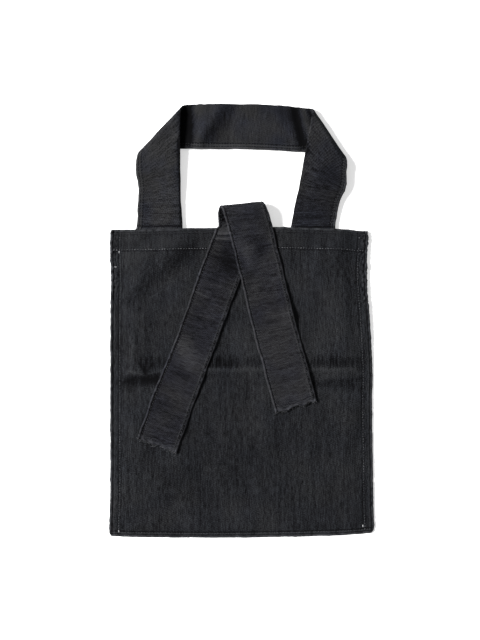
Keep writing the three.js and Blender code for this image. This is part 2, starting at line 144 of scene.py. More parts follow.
leftTieLine = {  # a run of the tie from mouth to end: aside as a share of its swing, width of the tie's
    "at": [0, 0.055, 0.245, 0.45, 0.58, 0.78, 1],
    "aside": [0.02, 0.063, 0.254, 0.451, 0.578, 0.79, 1],
    "width": [0.97, 0.96, 0.95, 0.93, 0.92, 0.97, 0.97],
}
rightTieLine = {
    "at": [0, 0.123, 0.285, 0.514, 0.77, 1],
    "aside": [0.1, 0.2, 0.35, 0.54, 0.79, 1],
    "width": [1, 1, 1, 1, 1.01, 1],
}

photo = {"middleX": 241.65, "middleY": 320.6, "scale": 1.25}  # pixels of the frame's origin, and mm a pixel


def mix(a, b, t):  # t of the way from a to b
    return a + (b - a) * t


def ease(t):  # soft step: 3t^2 - 2t^3 between 0 and 1
    s = np.clip(t, 0, 1)
    return s * s * (3 - 2 * s)


def bump(distance, width):  # bell curve, 1 at no distance: e to the minus (distance over width) squared
    return np.exp(-((distance / width) ** 2))


def dome(distance, radius):  # 0 on a rim and 1 a radius inside it, along a quarter circle
    return np.sqrt(1 - (1 - np.clip(distance / radius, 0, 1)) ** 2)


def along(table, share, column):  # cubic curve through the table's rows, their slopes from the neighbours
    at, value = np.array(table["at"], float), np.array(table[column], float)
    rows = np.arange(len(at))
    ahead, behind = np.minimum(rows + 1, rows[-1]), np.maximum(rows - 1, 0)
    slope = (value[ahead] - value[behind]) / (at[ahead] - at[behind])
    t = np.clip(share, 0, 1)
    i = np.clip(np.searchsorted(at, t, side="left") - 1, 0, len(at) - 2)
    span = at[i + 1] - at[i]
    s = (t - at[i]) / span
    straight = mix(value[i], value[i + 1], ease(s))
    return straight + span * s * (1 - s) * ((1 - s) * slope[i] - s * slope[i + 1])


def unevenness(x, y, size, seed):  # sum of sine waves about a size long, turned every way, height about 1
    rng = np.random.default_rng(seed)
    waves = 16
    turns, lengths = rng.uniform(0, 2 * np.pi, waves), rng.uniform(0.7, 1.6, waves) * size
    total = np.zeros(np.broadcast(x, y).shape)
    for turn, length, phase in zip(turns, lengths, rng.uniform(0, 2 * np.pi, waves)):
        total += np.sin(2 * np.pi * (x * np.cos(turn) + y * np.sin(turn)) / length + phase)
    return total * np.sqrt(2 / waves)


def puckers(s, size, seed):  # gathers along a seam: a sine of the length s whose phase wanders
    turn = 2 * np.pi * s / size
    drift = 2.1 * np.sin(turn / 9.3 + seed) + 1.4 * np.sin(turn / 4.1 + 2 * seed)
    return np.sin(turn + drift) * (0.65 + 0.35 * np.sin(turn / 6.7 + 3 * seed))


def unevenShares(length, coarse, finer, places, multiple=1):
    # Shares along a length, coarse mm apart, and closer by finer at places: rows of place, reach and strength
    fine = np.linspace(0, length, 4001)
    middle = (fine[1:] + fine[:-1]) / 2
    near = np.maximum.reduce([strength * bump(middle - at, reach) for at, reach, strength in places])
    steps = np.concatenate([[0], np.cumsum(np.diff(fine) / (coarse - finer * near))])
    count = int(np.ceil(steps[-1] / multiple)) * multiple
    return np.interp(np.linspace(0, steps[-1], count + 1), steps, fine) / length


def pixelX(px):  # the photograph's pixel columns and rows as places in the frame
    return (px - photo["middleX"]) * photo["scale"]


def pixelY(py):
    return (photo["middleY"] - py) * photo["scale"]


def placed(table):  # a table whose columns x and y are turned from pixels into places in the frame
    turned = {"x": pixelX, "y": pixelY}
    return {key: turned.get(key[0], np.asarray)(np.array(column, float)) for key, column in table.items()}


def wrinkles(x, y, table, column, atEnds=1):
    # Bell curves of the distance from straight lines, which fall by a half circle to atEnds at their ends
    total = np.zeros(np.broadcast(x, y).shape)
    keys = ("x0", "y0", "x1", "y1", "width", column)
    for x0, y0, x1, y1, width, amount in zip(*(table[key] for key in keys)):
        dx, dy = x1 - x0, y1 - y0
        share = np.clip(((x - x0) * dx + (y - y0) * dy) / (dx * dx + dy * dy), 0, 1)
        line = bump(np.hypot(x - x0 - share * dx, y - y0 - share * dy), width)
        total += amount * line * mix(atEnds, 1, np.sqrt(np.clip(4 * share * (1 - share), 0, 1)))
    return total


def gathers(x, y, table, column):  # bell-shaped patches of sine waves whose lines bend with the square of x
    total = np.zeros_like(x)
    keys = ("x", "y", "size", "pitch", "turn", "bend", column)
    for middleX, middleY, size, pitch, turn, bend, strength in zip(*(table[key] for key in keys)):
        dx, dy = x - middleX, y - middleY
        cosine, sine = np.cos(np.radians(turn)), np.sin(np.radians(turn))
        lengthwise, crosswise = dx * cosine + dy * sine, dy * cosine - dx * sine
        drift = 0.3 * pitch * unevenness(dx, dy, 3 * pitch, 170)
        wave = np.sin(2 * np.pi * (crosswise + bend * lengthwise ** 2 / size + drift) / pitch)
        patchy = np.clip(0.55 + 0.6 * unevenness(lengthwise, 2 * crosswise, 3.5 * pitch, 171), 0, 1.4)
        total += strength * patchy * wave * bump(np.hypot(dx, dy), size)
    return total


def edgeLines(distances, rows):  # bell curves along edges: rows of edge, distance, width and amount
    return sum(amount * bump(distances[edge] - at, width) for edge, at, width, amount in rows)


# Painted highlights of rolled rims and ridges, and painted shade in the stitch grooves
def paintedLines(edge, tones, strength=1):  # rows for edgeLines: narrow light and dark lines along one edge
    return tuple((edge, at, 0.75, strength * tone) for at, tone in tones)


# Painted light and dark lines beside a stitched edge: highlights on the rolled rim and between the rows,
# shade in the stitch grooves
seamPaintedLines = ((1.7, 0.32), (3.5, -0.35), (5, 0.28), (6.7, -0.35))  # distance from a stitched edge, and tone


# The bag's two panels


def bagPlace(across, up):  # across and up as shares go between the side lines and between foot and mouth
    left = bag["width"] * (along(sideLine, up, "left") - 0.5)
    right = bag["width"] * (0.5 - along(sideLine, up, "right"))
    foot = bag["height"] * along(endLine, across, "foot")
    mouth = bag["height"] * (1 - along(endLine, across, "mouth"))
    return mix(left, right, across), bag["footY"] + mix(foot, mouth, up)


def bagShares(x, y):  # the shares of a place, found by closing in on it
    across = 0.5 + x / bag["width"]
    up = (y - bag["footY"]) / bag["height"]
    for turn in range(4):
        foundX, foundY = bagPlace(across, up)
        across = across + (x - foundX) / bag["width"]
        up = up + (y - foundY) / bag["height"]
    return across, up


def rims(across, up):  # distance from each edge, and from the nearer side
    left, foot = bag["width"] * across, bag["height"] * up
    right, mouth = bag["width"] - left, bag["height"] - foot
    return {"left": left, "right": right, "side": np.minimum(left, right), "foot": foot, "mouth": mouth}


def doubled(across, up):  # 1 on the doubled bands and the hem, 0 on single cloth
    rim = rims(across, up)
    bands = (("side", bag["sideBand"]), ("foot", bag["footBand"]), ("mouth", bag["hemDepth"]))
    return np.maximum.reduce([1 - ease((rim[edge] - band) / bag["foldStep"] + 0.5) for edge, band in bands])


def pressed(across, up):  # share of its height that the cloth keeps: thin along the sides of the lower half
    low = 1 - ease((up - 0.5) / 0.22)
    return 1 - bag["pressed"] * low * (1 - ease((rims(across, up)["side"] - 4) / bag["pressedWidth"]))


def rimPinch(across, up, radius):  # 0 on the very rim and 1 a radius inside it
    rim = rims(across, up)
    return dome(np.minimum.reduce([rim["side"], rim["foot"], rim["mouth"]]), radius)


def frontTop(across, up, widen=1):  # low on the bands, full in the body, open at the mouth, with soft folds
    rim = rims(across, up)
    bandTop = 4 * bag["cloth"] + bag["gap"]
    bodyTop = 2 * bag["cloth"] + bag["swell"]
    mouthTop = bandTop + bag["gap"] + handle["thickness"] + bag["mouthSlack"]
    crown = ease((rim["side"] - bag["sideBand"]) / (bag["crown"] * bag["width"] - bag["sideBand"]))
    nearMouth = ease(1 - rim["mouth"] / bag["mouthReach"])
    shoulder = mix(bag["shoulder"], bag["mouthShoulder"], nearMouth)
    side = ease((rim["side"] - bag["sideBand"]) / bag["sideRise"]) * mix(shoulder, 1, crown)
    rise = ease((rim["foot"] - bag["footBand"]) / bag["footRise"])
    size = {"x": bag["width"], "y": bag["height"], "w": bag["swell"], "h": bag["swell"]}
    lines = {key: size[key[0]] * np.array(column) for key, column in panelFolds.items()}
    raised = lines["height"] > 0
    lines["width"] = lines["width"] * np.where(raised, widen, 1)
    lines["height"] = lines["height"] * (raised | (widen == 1))
    folds = wrinkles(rim["left"], rim["foot"], lines, "height") * ease(rim["side"] / (2 * bag["sideBand"]))
    return bandTop + side * rise * (mix(bodyTop, mouthTop, nearMouth) - bandTop + folds)


frontLook = {
    "broad": 0.55,  # height of the cloth's unevenness 60 mm, 21 mm and 8 mm long
    "middling": 0.14,
    "small": 0.035,
    "footSeam": 5.6,  # distance of the foot's stitches from the edge
    "roughHeight": 0.48,  # puckered raw margins in the upper part
    "roughLow": pixelY(312),
    "roughHigh": pixelY(228),
    "creaseY": pixelY(369.5),  # line where the bag was folded away
    "creaseHeight": 0.55,
    "creaseWidth": 2.2,
    "pleatDepth": 0.7,
    "pleatWidth": 0.95,
    "pleatTop": pixelY(352),
    # painted shade in the pleats
    "pleatPaintedShade": -0.85,
    "outline": (0.45, 20),  # how far the outline wanders, in mm, and its seed
    "rim": (0.25, 1.3),  # share of the thickness left on the rim, and radius of its rounding
    "hollow": 0.25,  # how far the inner face follows hollows of the outer one
    "calm": 0.8,  # part of the unevenness that the tie presses flat
}
frontEdges = {  # lines along the edges: edge, distance in from it, width, and height in mm, or wear or tone
    "height": (
        ("side", 1.8, 1.3, 0.4), ("side", 4.2, 0.8, -0.45), ("side", bag["sideBand"], 0.9, -0.4),
        ("mouth", 2, 1.6, 0.2), ("mouth", bag["hemDepth"], 0.9, -0.4),
        ("foot", 2, 1.5, 0.4), ("foot", frontLook["footSeam"], 0.9, -0.4)),
    # wear: rubbed rims, whose lighter threads also stand in for the rolled rims' painted highlight
    "wear": (
        ("left", 1.4, 1.3, 0.7), ("right", 1.6, 1.2, 0.5), ("mouth", 1.5, 1.2, 0.5), ("foot", 1.5, 1.3, 0.5)),
    # tone: painted highlights of the rolled rims, and painted shade in the seams' grooves and below the hem
    "tone": (
        *paintedLines("side", ((1.2, 0.5), (3.3, -1.1), (5.2, 0.3), (10.4, -0.3), (13.9, -0.3))),
        *paintedLines("foot", seamPaintedLines, 1.8), *paintedLines("mouth", seamPaintedLines, 0.5),
        ("mouth", bag["hemDepth"] + 1.5, 1.2, -0.25)),
}
frontPuckers = {  # gathers of the seams: distance of the seam, and pitch, width and height in mm
    "edge": ["left", "right", "mouth", "foot"],
    "at": [bag["sideBand"], bag["sideBand"], bag["hemDepth"], frontLook["footSeam"]],
    "pitch": [5.2, 5.2, 6.1, 6.6],
    "width": [6, 6, 7, 5],
    "height": [0.13, 0.13, 0.1, 0.13],
    "seed": [7, 8, 9, 11],
}
creaseStrength = {  # how sharp the crease is from left to right, as a share of its height, and its pleats
    "at": [0, 0.06, 0.14, 0.3, 0.4, 0.5, 0.7, 0.8, 0.88, 0.97, 1],
    "line": [0.1, 0.5, 0.7, 0.5, 1, 0.9, 0.8, 0.9, 1, 0.8, 0.2],
    "pleat": [0, 0.1, 0.55, 0.2, 1, 0.5, 0.35, 0.6, 1, 0.25, 0],
}
fineFolds = placed({  # small sharp wrinkles: ends in pixels of the photograph, width and height in mm
    "x0": [146, 146, 140, 152, 152, 196, 128, 340, 348, 300, 330],
    "y0": [360, 374, 377, 372, 250, 262, 250, 268, 300, 470, 455],
    "x1": [145, 152, 120, 176, 132, 168, 121, 352, 357, 318, 352],
    "y1": [373, 369, 387, 378, 300, 322, 296, 300, 342, 505, 490],
    "width": [1.4, 1.5, 2.2, 2.6, 4, 5, 3, 4, 3, 6, 5],
    "height": [-1.1, 0.7, -0.8, 0.5, 0.5, 0.55, -0.4, 0.35, -0.3, 0.18, -0.18],
})
# Painted shade and highlights: light and dark bands along the folds, the crease, its pleats and puckers, and
# broad lighter and darker places
frontPaintedShading = placed({  # painted shading, ends in pixels of the photograph, width in mm, and tone
    "x0": [190, 178, 140, 130, 215, 318, 196, 196, 128, 146, 306, 200, 345, 112, 160, 270, 146, 146, 146,
           118, 152, 158, 134, 330, 348],
    "y0": [250, 238, 260, 380, 361, 361, 361, 369.5, 371, 374, 384, 320, 240, 300, 480, 440, 374, 374, 374,
           384, 316, 330, 330, 381, 290],
    "x1": [130, 120, 118, 155, 235, 338, 354, 354, 146, 147, 352, 226, 352, 116, 330, 330, 140, 153, 168,
           178, 147, 158, 142, 361, 350],
    "y1": [300, 262, 330, 378, 361, 361, 361, 369.5, 375, 359, 385, 290, 320, 360, 470, 420, 363, 363, 369,
           377, 356, 356, 356, 379, 470],
    "width": [10, 8, 12, 6, 6, 6, 6, 3.4, 1.8, 1.6, 5, 12, 12, 10, 50, 40, 1.3, 1.3, 1.8, 7, 3, 4, 4, 3,
              26],
    "tone": [-0.28, 0.14, 0.1, -0.4, -0.14, -0.14, -0.1, 0.2, 0.35, -0.6, -0.3, -0.15, -0.1, -0.12, -0.08,
             -0.04, -0.4, -0.4, 0.35, -0.2, -0.16, 0.08, -0.12, -0.25, 0.08],
})
frontGathers = placed({  # patches of fine wrinkles: middle in pixels, size and pitch in mm, turn in degrees
    "x": [155, 150, 128, 345, 140, 330, 330, 225, 140],
    "y": [285, 272, 318, 290, 400, 420, 250, 345, 340],
    "size": [30, 24, 20, 26, 30, 30, 24, 26, 18],
    "pitch": [9, 6, 8, 9, 14, 17, 9, 8, 6],
    "turn": [48, -35, 65, -60, 20, -25, -50, 80, 75],
    "bend": [0.3, 0.3, 0.2, 0.3, 0.4, 0.3, 0.2, 0.1, 0.2],
    "height": [0.24, 0.14, 0.14, 0.16, 0.12, 0.12, 0.12, 0.12, 0.12],
    # tone: painted highlights and shade of the wrinkles
    "tone": [0.1, 0.09, 0.08, 0.06, 0.03, 0.03, 0.06, 0.08, 0.08],
})


def pleats(x, y):  # short upright pleats above the crease: bell curves of the distance from each line
    look = frontLook
    rng = np.random.default_rng(5)
    count = 104
    middle = np.cumsum(rng.uniform(2.2, 4.2, count)) - 0.5 * bag["width"]
    depth = rng.uniform(0.3, 1, count) * along(creaseStrength, middle / bag["width"] + 0.5, "pleat")
    lean, reach = rng.uniform(-0.12, 0.12, count), rng.uniform(0.6, 1.25, count)
    rise = (y - look["creaseY"]) / (look["pleatTop"] - look["creaseY"])
    total = np.zeros_like(x)
    for k in np.flatnonzero(depth > 0.05):
        band = ease(rise / 0.2) * ease((reach[k] - rise) / 0.5)
        total += depth[k] * band * bump(x - middle[k] - lean[k] * (y - look["creaseY"]), look["pleatWidth"])
    return total


def roughPart(y):  # 1 along the upper part of the sides, whose margins are raw, and 0 above and below it
    return ease((y - frontLook["roughLow"]) / 14) * ease((frontLook["roughHigh"] - y) / 6)


def frontDrape(across, up):  # how far the whole cloth lies above or below its smooth shape
    x, y = bagPlace(across, up)
    rim, look = rims(across, up), frontLook
    height = look["broad"] * unevenness(x, y, 60, 1) + look["middling"] * unevenness(x, y, 21, 2)
    height = height * mix(0.5, 1, ease(rim["mouth"] / 40))
    wander = 0.9 * unevenness(x, 0, 55, 3) + 0.4 * unevenness(x, 0, 17, 4)
    crease = along(creaseStrength, across, "line") * bump(y - look["creaseY"] - wander, look["creaseWidth"])
    height = height + look["creaseHeight"] * crease - look["pleatDepth"] * pleats(x, y)
    height = height + gathers(x, y, frontGathers, "height") + wrinkles(x, y, fineFolds, "height", 0.35)
    return height * ease((rim["side"] - 9) / 16) * ease((rim["foot"] - 5) / 16)


def frontSurface(across, up):  # the rolled rims, stitch grooves and puckers of the upper face alone
    x, y = bagPlace(across, up)
    rim = rims(across, up)
    height = frontLook["small"] * unevenness(x, y, 8, 6) + edgeLines(rim, frontEdges["height"])
    for edge, at, pitch, width, strength, seed in zip(*frontPuckers.values()):
        seam = x if edge in ("mouth", "foot") else y
        height = height + strength * puckers(seam, pitch, seed) * bump(rim[edge] - at, width)
    for edge, seed in (("left", 17), ("right", 18)):
        frayed = unevenness(x * 1.2, y, 4.2, seed) + 0.6 * unevenness(x, y, 9, seed + 2)
        height = height + frontLook["roughHeight"] * roughPart(y) * frayed * bump(rim[edge] - 5, 4.5)
    return height


def frontFace(across, up):  # the finished upper face of the front panel, calmer under the tie
    calm = 1 - frontLook["calm"] * underTie(*bagPlace(across, up))
    relief = [frontDrape(across, up), frontSurface(across, up)]
    return frontTop(across, up) + sum(np.where(height > 0, height * calm, height) for height in relief)


# The tie's route, which the front panel also needs to know


def tieRun(table, drop, swing, startX, share):  # a run's centreline, heading and width at shares of its drop
    place = lambda t: (startX + swing * along(table, t, "aside"), bag["footY"] + bag["height"] - drop * t)
    x, y = place(share)
    aheadX, aheadY = place(np.minimum(share + 0.02, 1))
    behindX, behindY = place(np.maximum(share - 0.02, 0))
    heading = np.degrees(np.arctan2(aheadY - behindY, aheadX - behindX))
    return x, y, heading, tie["width"] * along(table, share, "width")


def lowerRun(share):
    return tieRun(leftTieLine, tie["leftDrop"], -tie["leftSwing"], tie["loopCentre"], share)


def upperRun(share):
    startX = tie["loopCentre"] + tie["loopShift"]
    return tieRun(rightTieLine, tie["rightDrop"], tie["rightSwing"], startX, share)


def besideRun(run, drop, x, y):  # distance from a run's centreline, half its width, and share of its drop
    share = (bag["footY"] + bag["height"] - y) / drop
    middle, _, heading, width = run(np.clip(share, 0, 1))
    return (x - middle) * np.abs(np.sin(np.radians(heading))), width / 2, share


def underTie(x, y):  # 1 under the tie and 0 past its edges
    over = 0
    for run, drop in ((lowerRun, tie["leftDrop"]), (upperRun, tie["rightDrop"])):
        aside, half, share = besideRun(run, drop, x, y)
        over = np.maximum(over, ease((half + 3 - np.abs(aside)) / 4) * ease((1.03 - share) / 0.03))
    return over


def onPanel(x, y):  # middle of a strap that lies on the front panel
    across, up = bagShares(x, y)
    return frontTop(across, np.minimum(up, 1), tie["bridge"]) + bag["gap"] + tie["thickness"] / 2


def onLowerRun(x, y):  # the same where it also crosses the lower run, coming down beside it
    aside, half, _ = besideRun(lowerRun, tie["leftDrop"], x, y)
    over = 1 - ease((aside - half - tie["crossingMargin"]) / tie["crossingTaper"])
    return onPanel(x, y) + over * (tie["thickness"] + bag["gap"])


# Meshes from grids


def clothMesh(name, upper, lower, uv, looks, material, coarse=1):
    # Closed skin between two grids of points, whose lower grid keeps every coarse-th point of the upper one
    rows, columns = upper.shape[:2]
    lower = lower[::coarse, ::coarse]
    lowRows, lowColumns = lower.shape[:2]
    top = np.arange(rows * columns).reshape(rows, columns)
    under = rows * columns + np.arange(lowRows * lowColumns).reshape(lowRows, lowColumns)
    faces = np.stack([top[:-1, :-1], top[1:, :-1], top[1:, 1:], top[:-1, 1:]], -1).reshape(-1, 4).tolist()
    lowFaces = np.stack([under[:-1, :-1], under[:-1, 1:], under[1:, 1:], under[1:, :-1]], -1)
    faces += lowFaces.reshape(-1, 4).tolist()

    def wall(topLine, underLine, turned):  # one n-sided face for each step of the coarser line
        steps = len(underLine) - 1
        fine = topLine[np.arange(steps)[:, None] * coarse + np.arange(coarse + 1)]
        ring = np.concatenate([fine, underLine[1:, None], underLine[:-1, None]], 1)
        return (ring[:, ::-1] if turned else ring).tolist()

    faces += wall(top[0], under[0], False) + wall(top[-1], under[-1], True)
    faces += wall(top[:, 0], under[:, 0], True) + wall(top[:, -1], under[:, -1], False)
    points = np.concatenate([upper.reshape(-1, 3), lower.reshape(-1, 3)])
    uvs = np.concatenate([uv.reshape(-1, 2), uv[::coarse, ::coarse].reshape(-1, 2)])
    both = lambda grid: np.concatenate([grid.ravel(), grid[::coarse, ::coarse].ravel()])
    return finishedMesh(name, points, faces, material, uvs, {key: both(grid) for key, grid in looks.items()})


def finishedMesh(name, points, faces, material, uvs=None, attributes=None):  # a smooth object at the origin
    mesh = bpy.data.meshes.new(name)
    mesh.from_pydata((points * 0.001).tolist(), [], faces)
    mesh.polygons.foreach_set("use_smooth", np.ones(len(mesh.polygons), bool))
    corner = np.zeros(len(mesh.loops), np.int32)
    mesh.loops.foreach_get("vertex_index", corner)
    if uvs is not None:
        mesh.uv_layers.new(name="cloth").data.foreach_set("uv", uvs[corner].astype(np.float32).ravel())
    for key, values in (attributes or {}).items():
        mesh.attributes.new(key, "FLOAT", "POINT").data.foreach_set("value", values.astype(np.float32))
    mesh.materials.append(material)
    mesh.update()
    piece = bpy.data.objects.new(name, mesh)
    bpy.context.scene.collection.objects.link(piece)
    return piece


def unit(vectors):
    return vectors / (np.linalg.norm(vectors, axis=-1, keepdims=True) + 1e-9)


def threadTubes(name, paths, radii, material, sides=6, wears=None):
    # Closed tubes round many paths at once: ring points are centre + radius (side cos a + up sin a)
    count, rings = radii.shape
    heading = unit(np.gradient(paths, axis=1))
    side = unit(np.cross(heading, [0.05, 0.03, 1]))
    upward = np.cross(side, heading)
    angle = np.arange(sides) * 2 * np.pi / sides
    ring = side[:, :, None] * np.cos(angle)[:, None] + upward[:, :, None] * np.sin(angle)[:, None]
    points = paths[:, :, None] + ring * radii[:, :, None, None]
    index = np.arange(count * rings * sides).reshape(count, rings, sides)
    turned = np.roll(index, -1, axis=2)
    quads = np.stack([index[:, :-1], turned[:, :-1], turned[:, 1:], index[:, 1:]], -1).reshape(-1, 4)
    caps = np.concatenate([index[:, 0, ::-1], index[:, -1]])
    attributes = None if wears is None else {"wear": np.repeat(wears, rings * sides)}
    faces = quads.tolist() + caps.tolist()
    return finishedMesh(name, points.reshape(-1, 3), faces, material, attributes=attributes)


def stitchPaths(line, normals, pitch, share, radius, seed):
    # Stitches along a line of points: each rises by its radius midway and dips into the cloth at both ends
    rng = np.random.default_rng(seed)
    length = np.concatenate([[0], np.cumsum(np.linalg.norm(np.diff(line, axis=0), axis=1))])
    count = int(length[-1] / pitch)
    start = (np.arange(count) + 0.5 * (1 - share)) * pitch + rng.normal(0, 0.06 * pitch, count)
    t = np.linspace(0, 1, 5)
    at = start[:, None] + t * pitch * share * rng.uniform(0.85, 1.08, count)[:, None]
    place, normal = (np.stack([np.interp(at, length, values) for values in grid.T], -1)
                     for grid in (line, normals))
    lift = radius * (1.1 - 2.6 * (2 * t - 1) ** 4)
    aside = rng.normal(0, 0.12, (count, 1, 1))
    sink = rng.uniform(0, 1, (count, 1)) ** 2 * 1.1 * radius  # some stitches are pulled deeper into the cloth
    sideways = unit(np.cross(np.gradient(place, axis=1), normal))
    place = place + normal * (lift - sink)[:, :, None] + sideways * aside
    return place, radius * np.broadcast_to(np.array([0.55, 1, 1, 1, 0.55]), (count, 5))


# Materials


def linear(code):  # an sRGB hex colour turned to linear light
    values = np.array([int(code[i:i + 2], 16) / 255 for i in (0, 2, 4)])
    return (*np.where(values <= 0.04045, values / 12.92, ((values + 0.055) / 1.055) ** 2.4).tolist(), 1)


def addNode(tree, kind, inputs, wanted=0, **settings):  # a new node with its settings and links
    node = tree.nodes.new("ShaderNode" + kind)
    for name, value in settings.items():
        setattr(node, name, value)
    for socket, value in inputs.items():
        if isinstance(value, bpy.types.NodeSocket):
            tree.links.new(value, node.inputs[socket])
        else:
            node.inputs[socket].default_value = value
    return None if wanted is None else node.outputs[wanted]


def newMaterial(name):  # an empty material and its nodes
    material = bpy.data.materials.new(name)
    material.use_nodes = True
    material.node_tree.nodes.clear()
    return material, material.node_tree


denimLook = {
    "threadWidth": 1.3,  # mm between warp threads, about three times as coarse as real, so that they show
    "slubLength": 9,  # mm that a thick place in a thread goes on
    "bandWidth": 4.5,  # mm of the broader streaks from uneven dyeing
    "bandLength": 60,
    "speckle": 1.45,  # mm of the pale weft specks
    "twillPitch": 2.1,  # mm between twill lines, coarser than real
    "twillAngle": 63,  # degrees
    "fadeSize": 70,  # mm of the cloudy fading
    "hueSize": 34,  # mm of the patches that look warmer or bluer
    "weights": (1.3, 0.55, 1.6, 0.3, 0.4),  # of threads, streaks, specks, twill and fading in the tone
    "relief": 0.0003,  # metres of the weave's bump
    "toneRange": 1.5,  # from the sum of patterns for the darkest thread to the one for the lightest
    "meanTone": 0.29,  # how light the mean is between those two
}


def blackDenim(name, dark, cool, warm, worn, grain):
    # Black denim, a 3/1 twill of uneven yarn: matte, with fine lighter streaks along the warp and pale
    # specks, cloudy fading between a cool and a warm grey, and lighter worn threads where an edge or fold
    # has rubbed, which on the rolled rims also stand in for a painted highlight. The shade attribute paints
    # shade and highlights into the tone, and places lightened by painted highlights turn warmer
    look = denimLook
    material, tree = newMaterial(name)
    uv = addNode(tree, "UVMap", {}, "UV", uv_map="cloth")
    place = addNode(tree, "TexCoord", {}, "Object")
    sizes = ((look["threadWidth"], look["slubLength"], 2), (look["bandWidth"], look["bandLength"], 1),
             (look["speckle"], look["speckle"], 2))
    patterns = []
    for width, length, detail in sizes:
        spot = addNode(tree, "Mapping", {"Vector": uv, "Scale": (1 / width, 1 / length, 1)})
        patterns.append(addNode(tree, "TexNoise", {"Vector": spot, "Scale": 1, "Detail": detail,
                                                   "Roughness": 0.65}, "Fac", noise_dimensions="2D"))
    turned = addNode(tree, "Mapping", {"Vector": uv, "Rotation": (0, 0, np.radians(look["twillAngle"]))})
    twill = addNode(tree, "TexWave", {"Vector": turned, "Scale": 0.314 / look["twillPitch"],
                                      "Distortion": 1.5, "Detail": 1, "Detail Scale": 2}, "Fac")
    fade, hue = [addNode(tree, "TexNoise", {"Vector": place, "Scale": 1000 / size, "Detail": detail}, "Fac")
                 for size, detail in ((look["fadeSize"], 3), (look["hueSize"], 2))]
    # shade: painted shade and highlights; wear: rubbed threads and painted rim highlights
    shade, wear, crisp = [addNode(tree, "Attribute", {}, "Fac", attribute_name=key)
                          for key in ("shade", "wear", "crisp")]
    tone = -sum(look["weights"]) / 2  # every pattern has the mean 0.5
    for pattern, weight in zip((*patterns, twill, fade), look["weights"]):
        tone = addNode(tree, "Math", {0: pattern, 1: weight, 2: tone}, operation="MULTIPLY_ADD")
    # the painted shade and highlights are added to the tone here
    tone = addNode(tree, "Math", {0: tone, 1: crisp, 2: shade}, operation="MULTIPLY_ADD")
    reach = look["toneRange"] / grain
    darkest = -look["meanTone"] * reach
    tone = addNode(tree, "MapRange", {"Value": tone, "From Min": darkest, "From Max": darkest + reach})
    # painted highlights turn the grey warmer, painted shade turns it cooler
    hue = addNode(tree, "Math", {0: shade, 1: 0.45, 2: hue}, operation="MULTIPLY_ADD")
    hue = addNode(tree, "MapRange", {"Value": hue, "From Min": 0.35, "From Max": 0.65})
    fine, _, specks = patterns
    patchy = addNode(tree, "Math", {0: specks, 1: 1.2, 2: 0.35}, operation="MULTIPLY_ADD")
    rubbed = addNode(tree, "Math", {0: wear, 1: patchy}, operation="MULTIPLY", use_clamp=True)
    colour = linear(cool)
    layers = ((hue, None, linear(warm)), (tone, linear(dark), None), (rubbed, None, linear(worn)))
    for share, low, high in layers:  # None stands for the colour mixed so far
        colour = addNode(tree, "Mix", {"Factor": share, "A": low or colour, "B": high or colour}, "Result",
                         data_type="RGBA")
    relief = addNode(tree, "Math", {0: fine, 1: 0.6, 2: specks}, operation="MULTIPLY_ADD")
    relief = addNode(tree, "Math", {0: twill, 1: 0.3, 2: relief}, operation="MULTIPLY_ADD")
    normal = addNode(tree, "Bump", {"Height": relief, "Strength": 0.6, "Distance": look["relief"]})
    shader = addNode(tree, "BsdfPrincipled", {
        "Base Color": colour, "Roughness": 0.95, "Normal": normal, "Specular IOR Level": 0.03,
        "Sheen Weight": 0.12, "Sheen Roughness": 0.4, "Sheen Tint": linear("9a9ca2")})
    addNode(tree, "OutputMaterial", {"Surface": shader}, None)
    return material


yarnLook = {  # how fine and deep the surface is, and how glossy
    "sewn": {"grain": 2500, "detail": 1, "strength": 0.4, "depth": 0.0001,
             "rough": 0.62, "gloss": 0.3, "sheen": 0.1},
    "loose": {"grain": 900, "detail": 2, "strength": 0.5, "depth": 0.0002,
              "rough": 0.9, "gloss": 0.15, "sheen": 0.2},
}


def yarn(name, kind, deep, pale):
    # Sewn yarn is spun polyester thread: two twisted plies, slightly glossy, grubby in places. Loose yarn is
    # dull and fuzzy: the dyed warp is black and the undyed weft pale grey, told apart by the wear attribute
    look = yarnLook[kind]
    material, tree = newMaterial(name)
    place = addNode(tree, "TexCoord", {}, "Object")
    if kind == "sewn":
        grubby = addNode(tree, "TexNoise", {"Vector": place, "Scale": 90, "Detail": 2}, "Fac")
        share = addNode(tree, "MapRange", {"Value": grubby, "From Min": 0.42, "From Max": 0.66})
    else:
        share = addNode(tree, "Attribute", {}, "Fac", attribute_name="wear")
    colour = addNode(tree, "Mix", {"Factor": share, "A": linear(deep), "B": linear(pale)}, "Result",
                     data_type="RGBA")
    fibres = addNode(tree, "TexNoise", {"Vector": place, "Scale": look["grain"],
                                        "Detail": look["detail"]}, "Fac")
    normal = addNode(tree, "Bump", {"Height": fibres, "Strength": look["strength"],
                                    "Distance": look["depth"]})
    shader = addNode(tree, "BsdfPrincipled", {
        "Base Color": colour, "Normal": normal, "Roughness": look["rough"],
        "Specular IOR Level": look["gloss"], "Sheen Weight": look["sheen"]})
    addNode(tree, "OutputMaterial", {"Surface": shader}, None)
    return material


bodyDenim = blackDenim("black_denim_body", "070708", "313337", "333436", "36373a", 1.05)
handleDenim = blackDenim("black_denim_handle", "070708", "30323a", "363637", "38393c", 1.25)
tieDenim = blackDenim("black_denim_tie", "070708", "32333a", "373739", "393a3e", 0.95)
brightThread = yarn("bright_grey_sewing_thread", "sewn", "2c2d30", "8a8b8e")
greyThread = yarn("grey_sewing_thread", "sewn", "2e2f32", "5e5f62")
tackThread = yarn("pale_sewing_thread", "sewn", "6a6b6e", "c8c9cb")
darkThread = yarn("dark_sewing_thread", "sewn", "151618", "3a3b3e")
frayYarn = yarn("loose_yarn", "loose", "0c0d0e", "3f4044")
print("materials made")


# Front and back panel


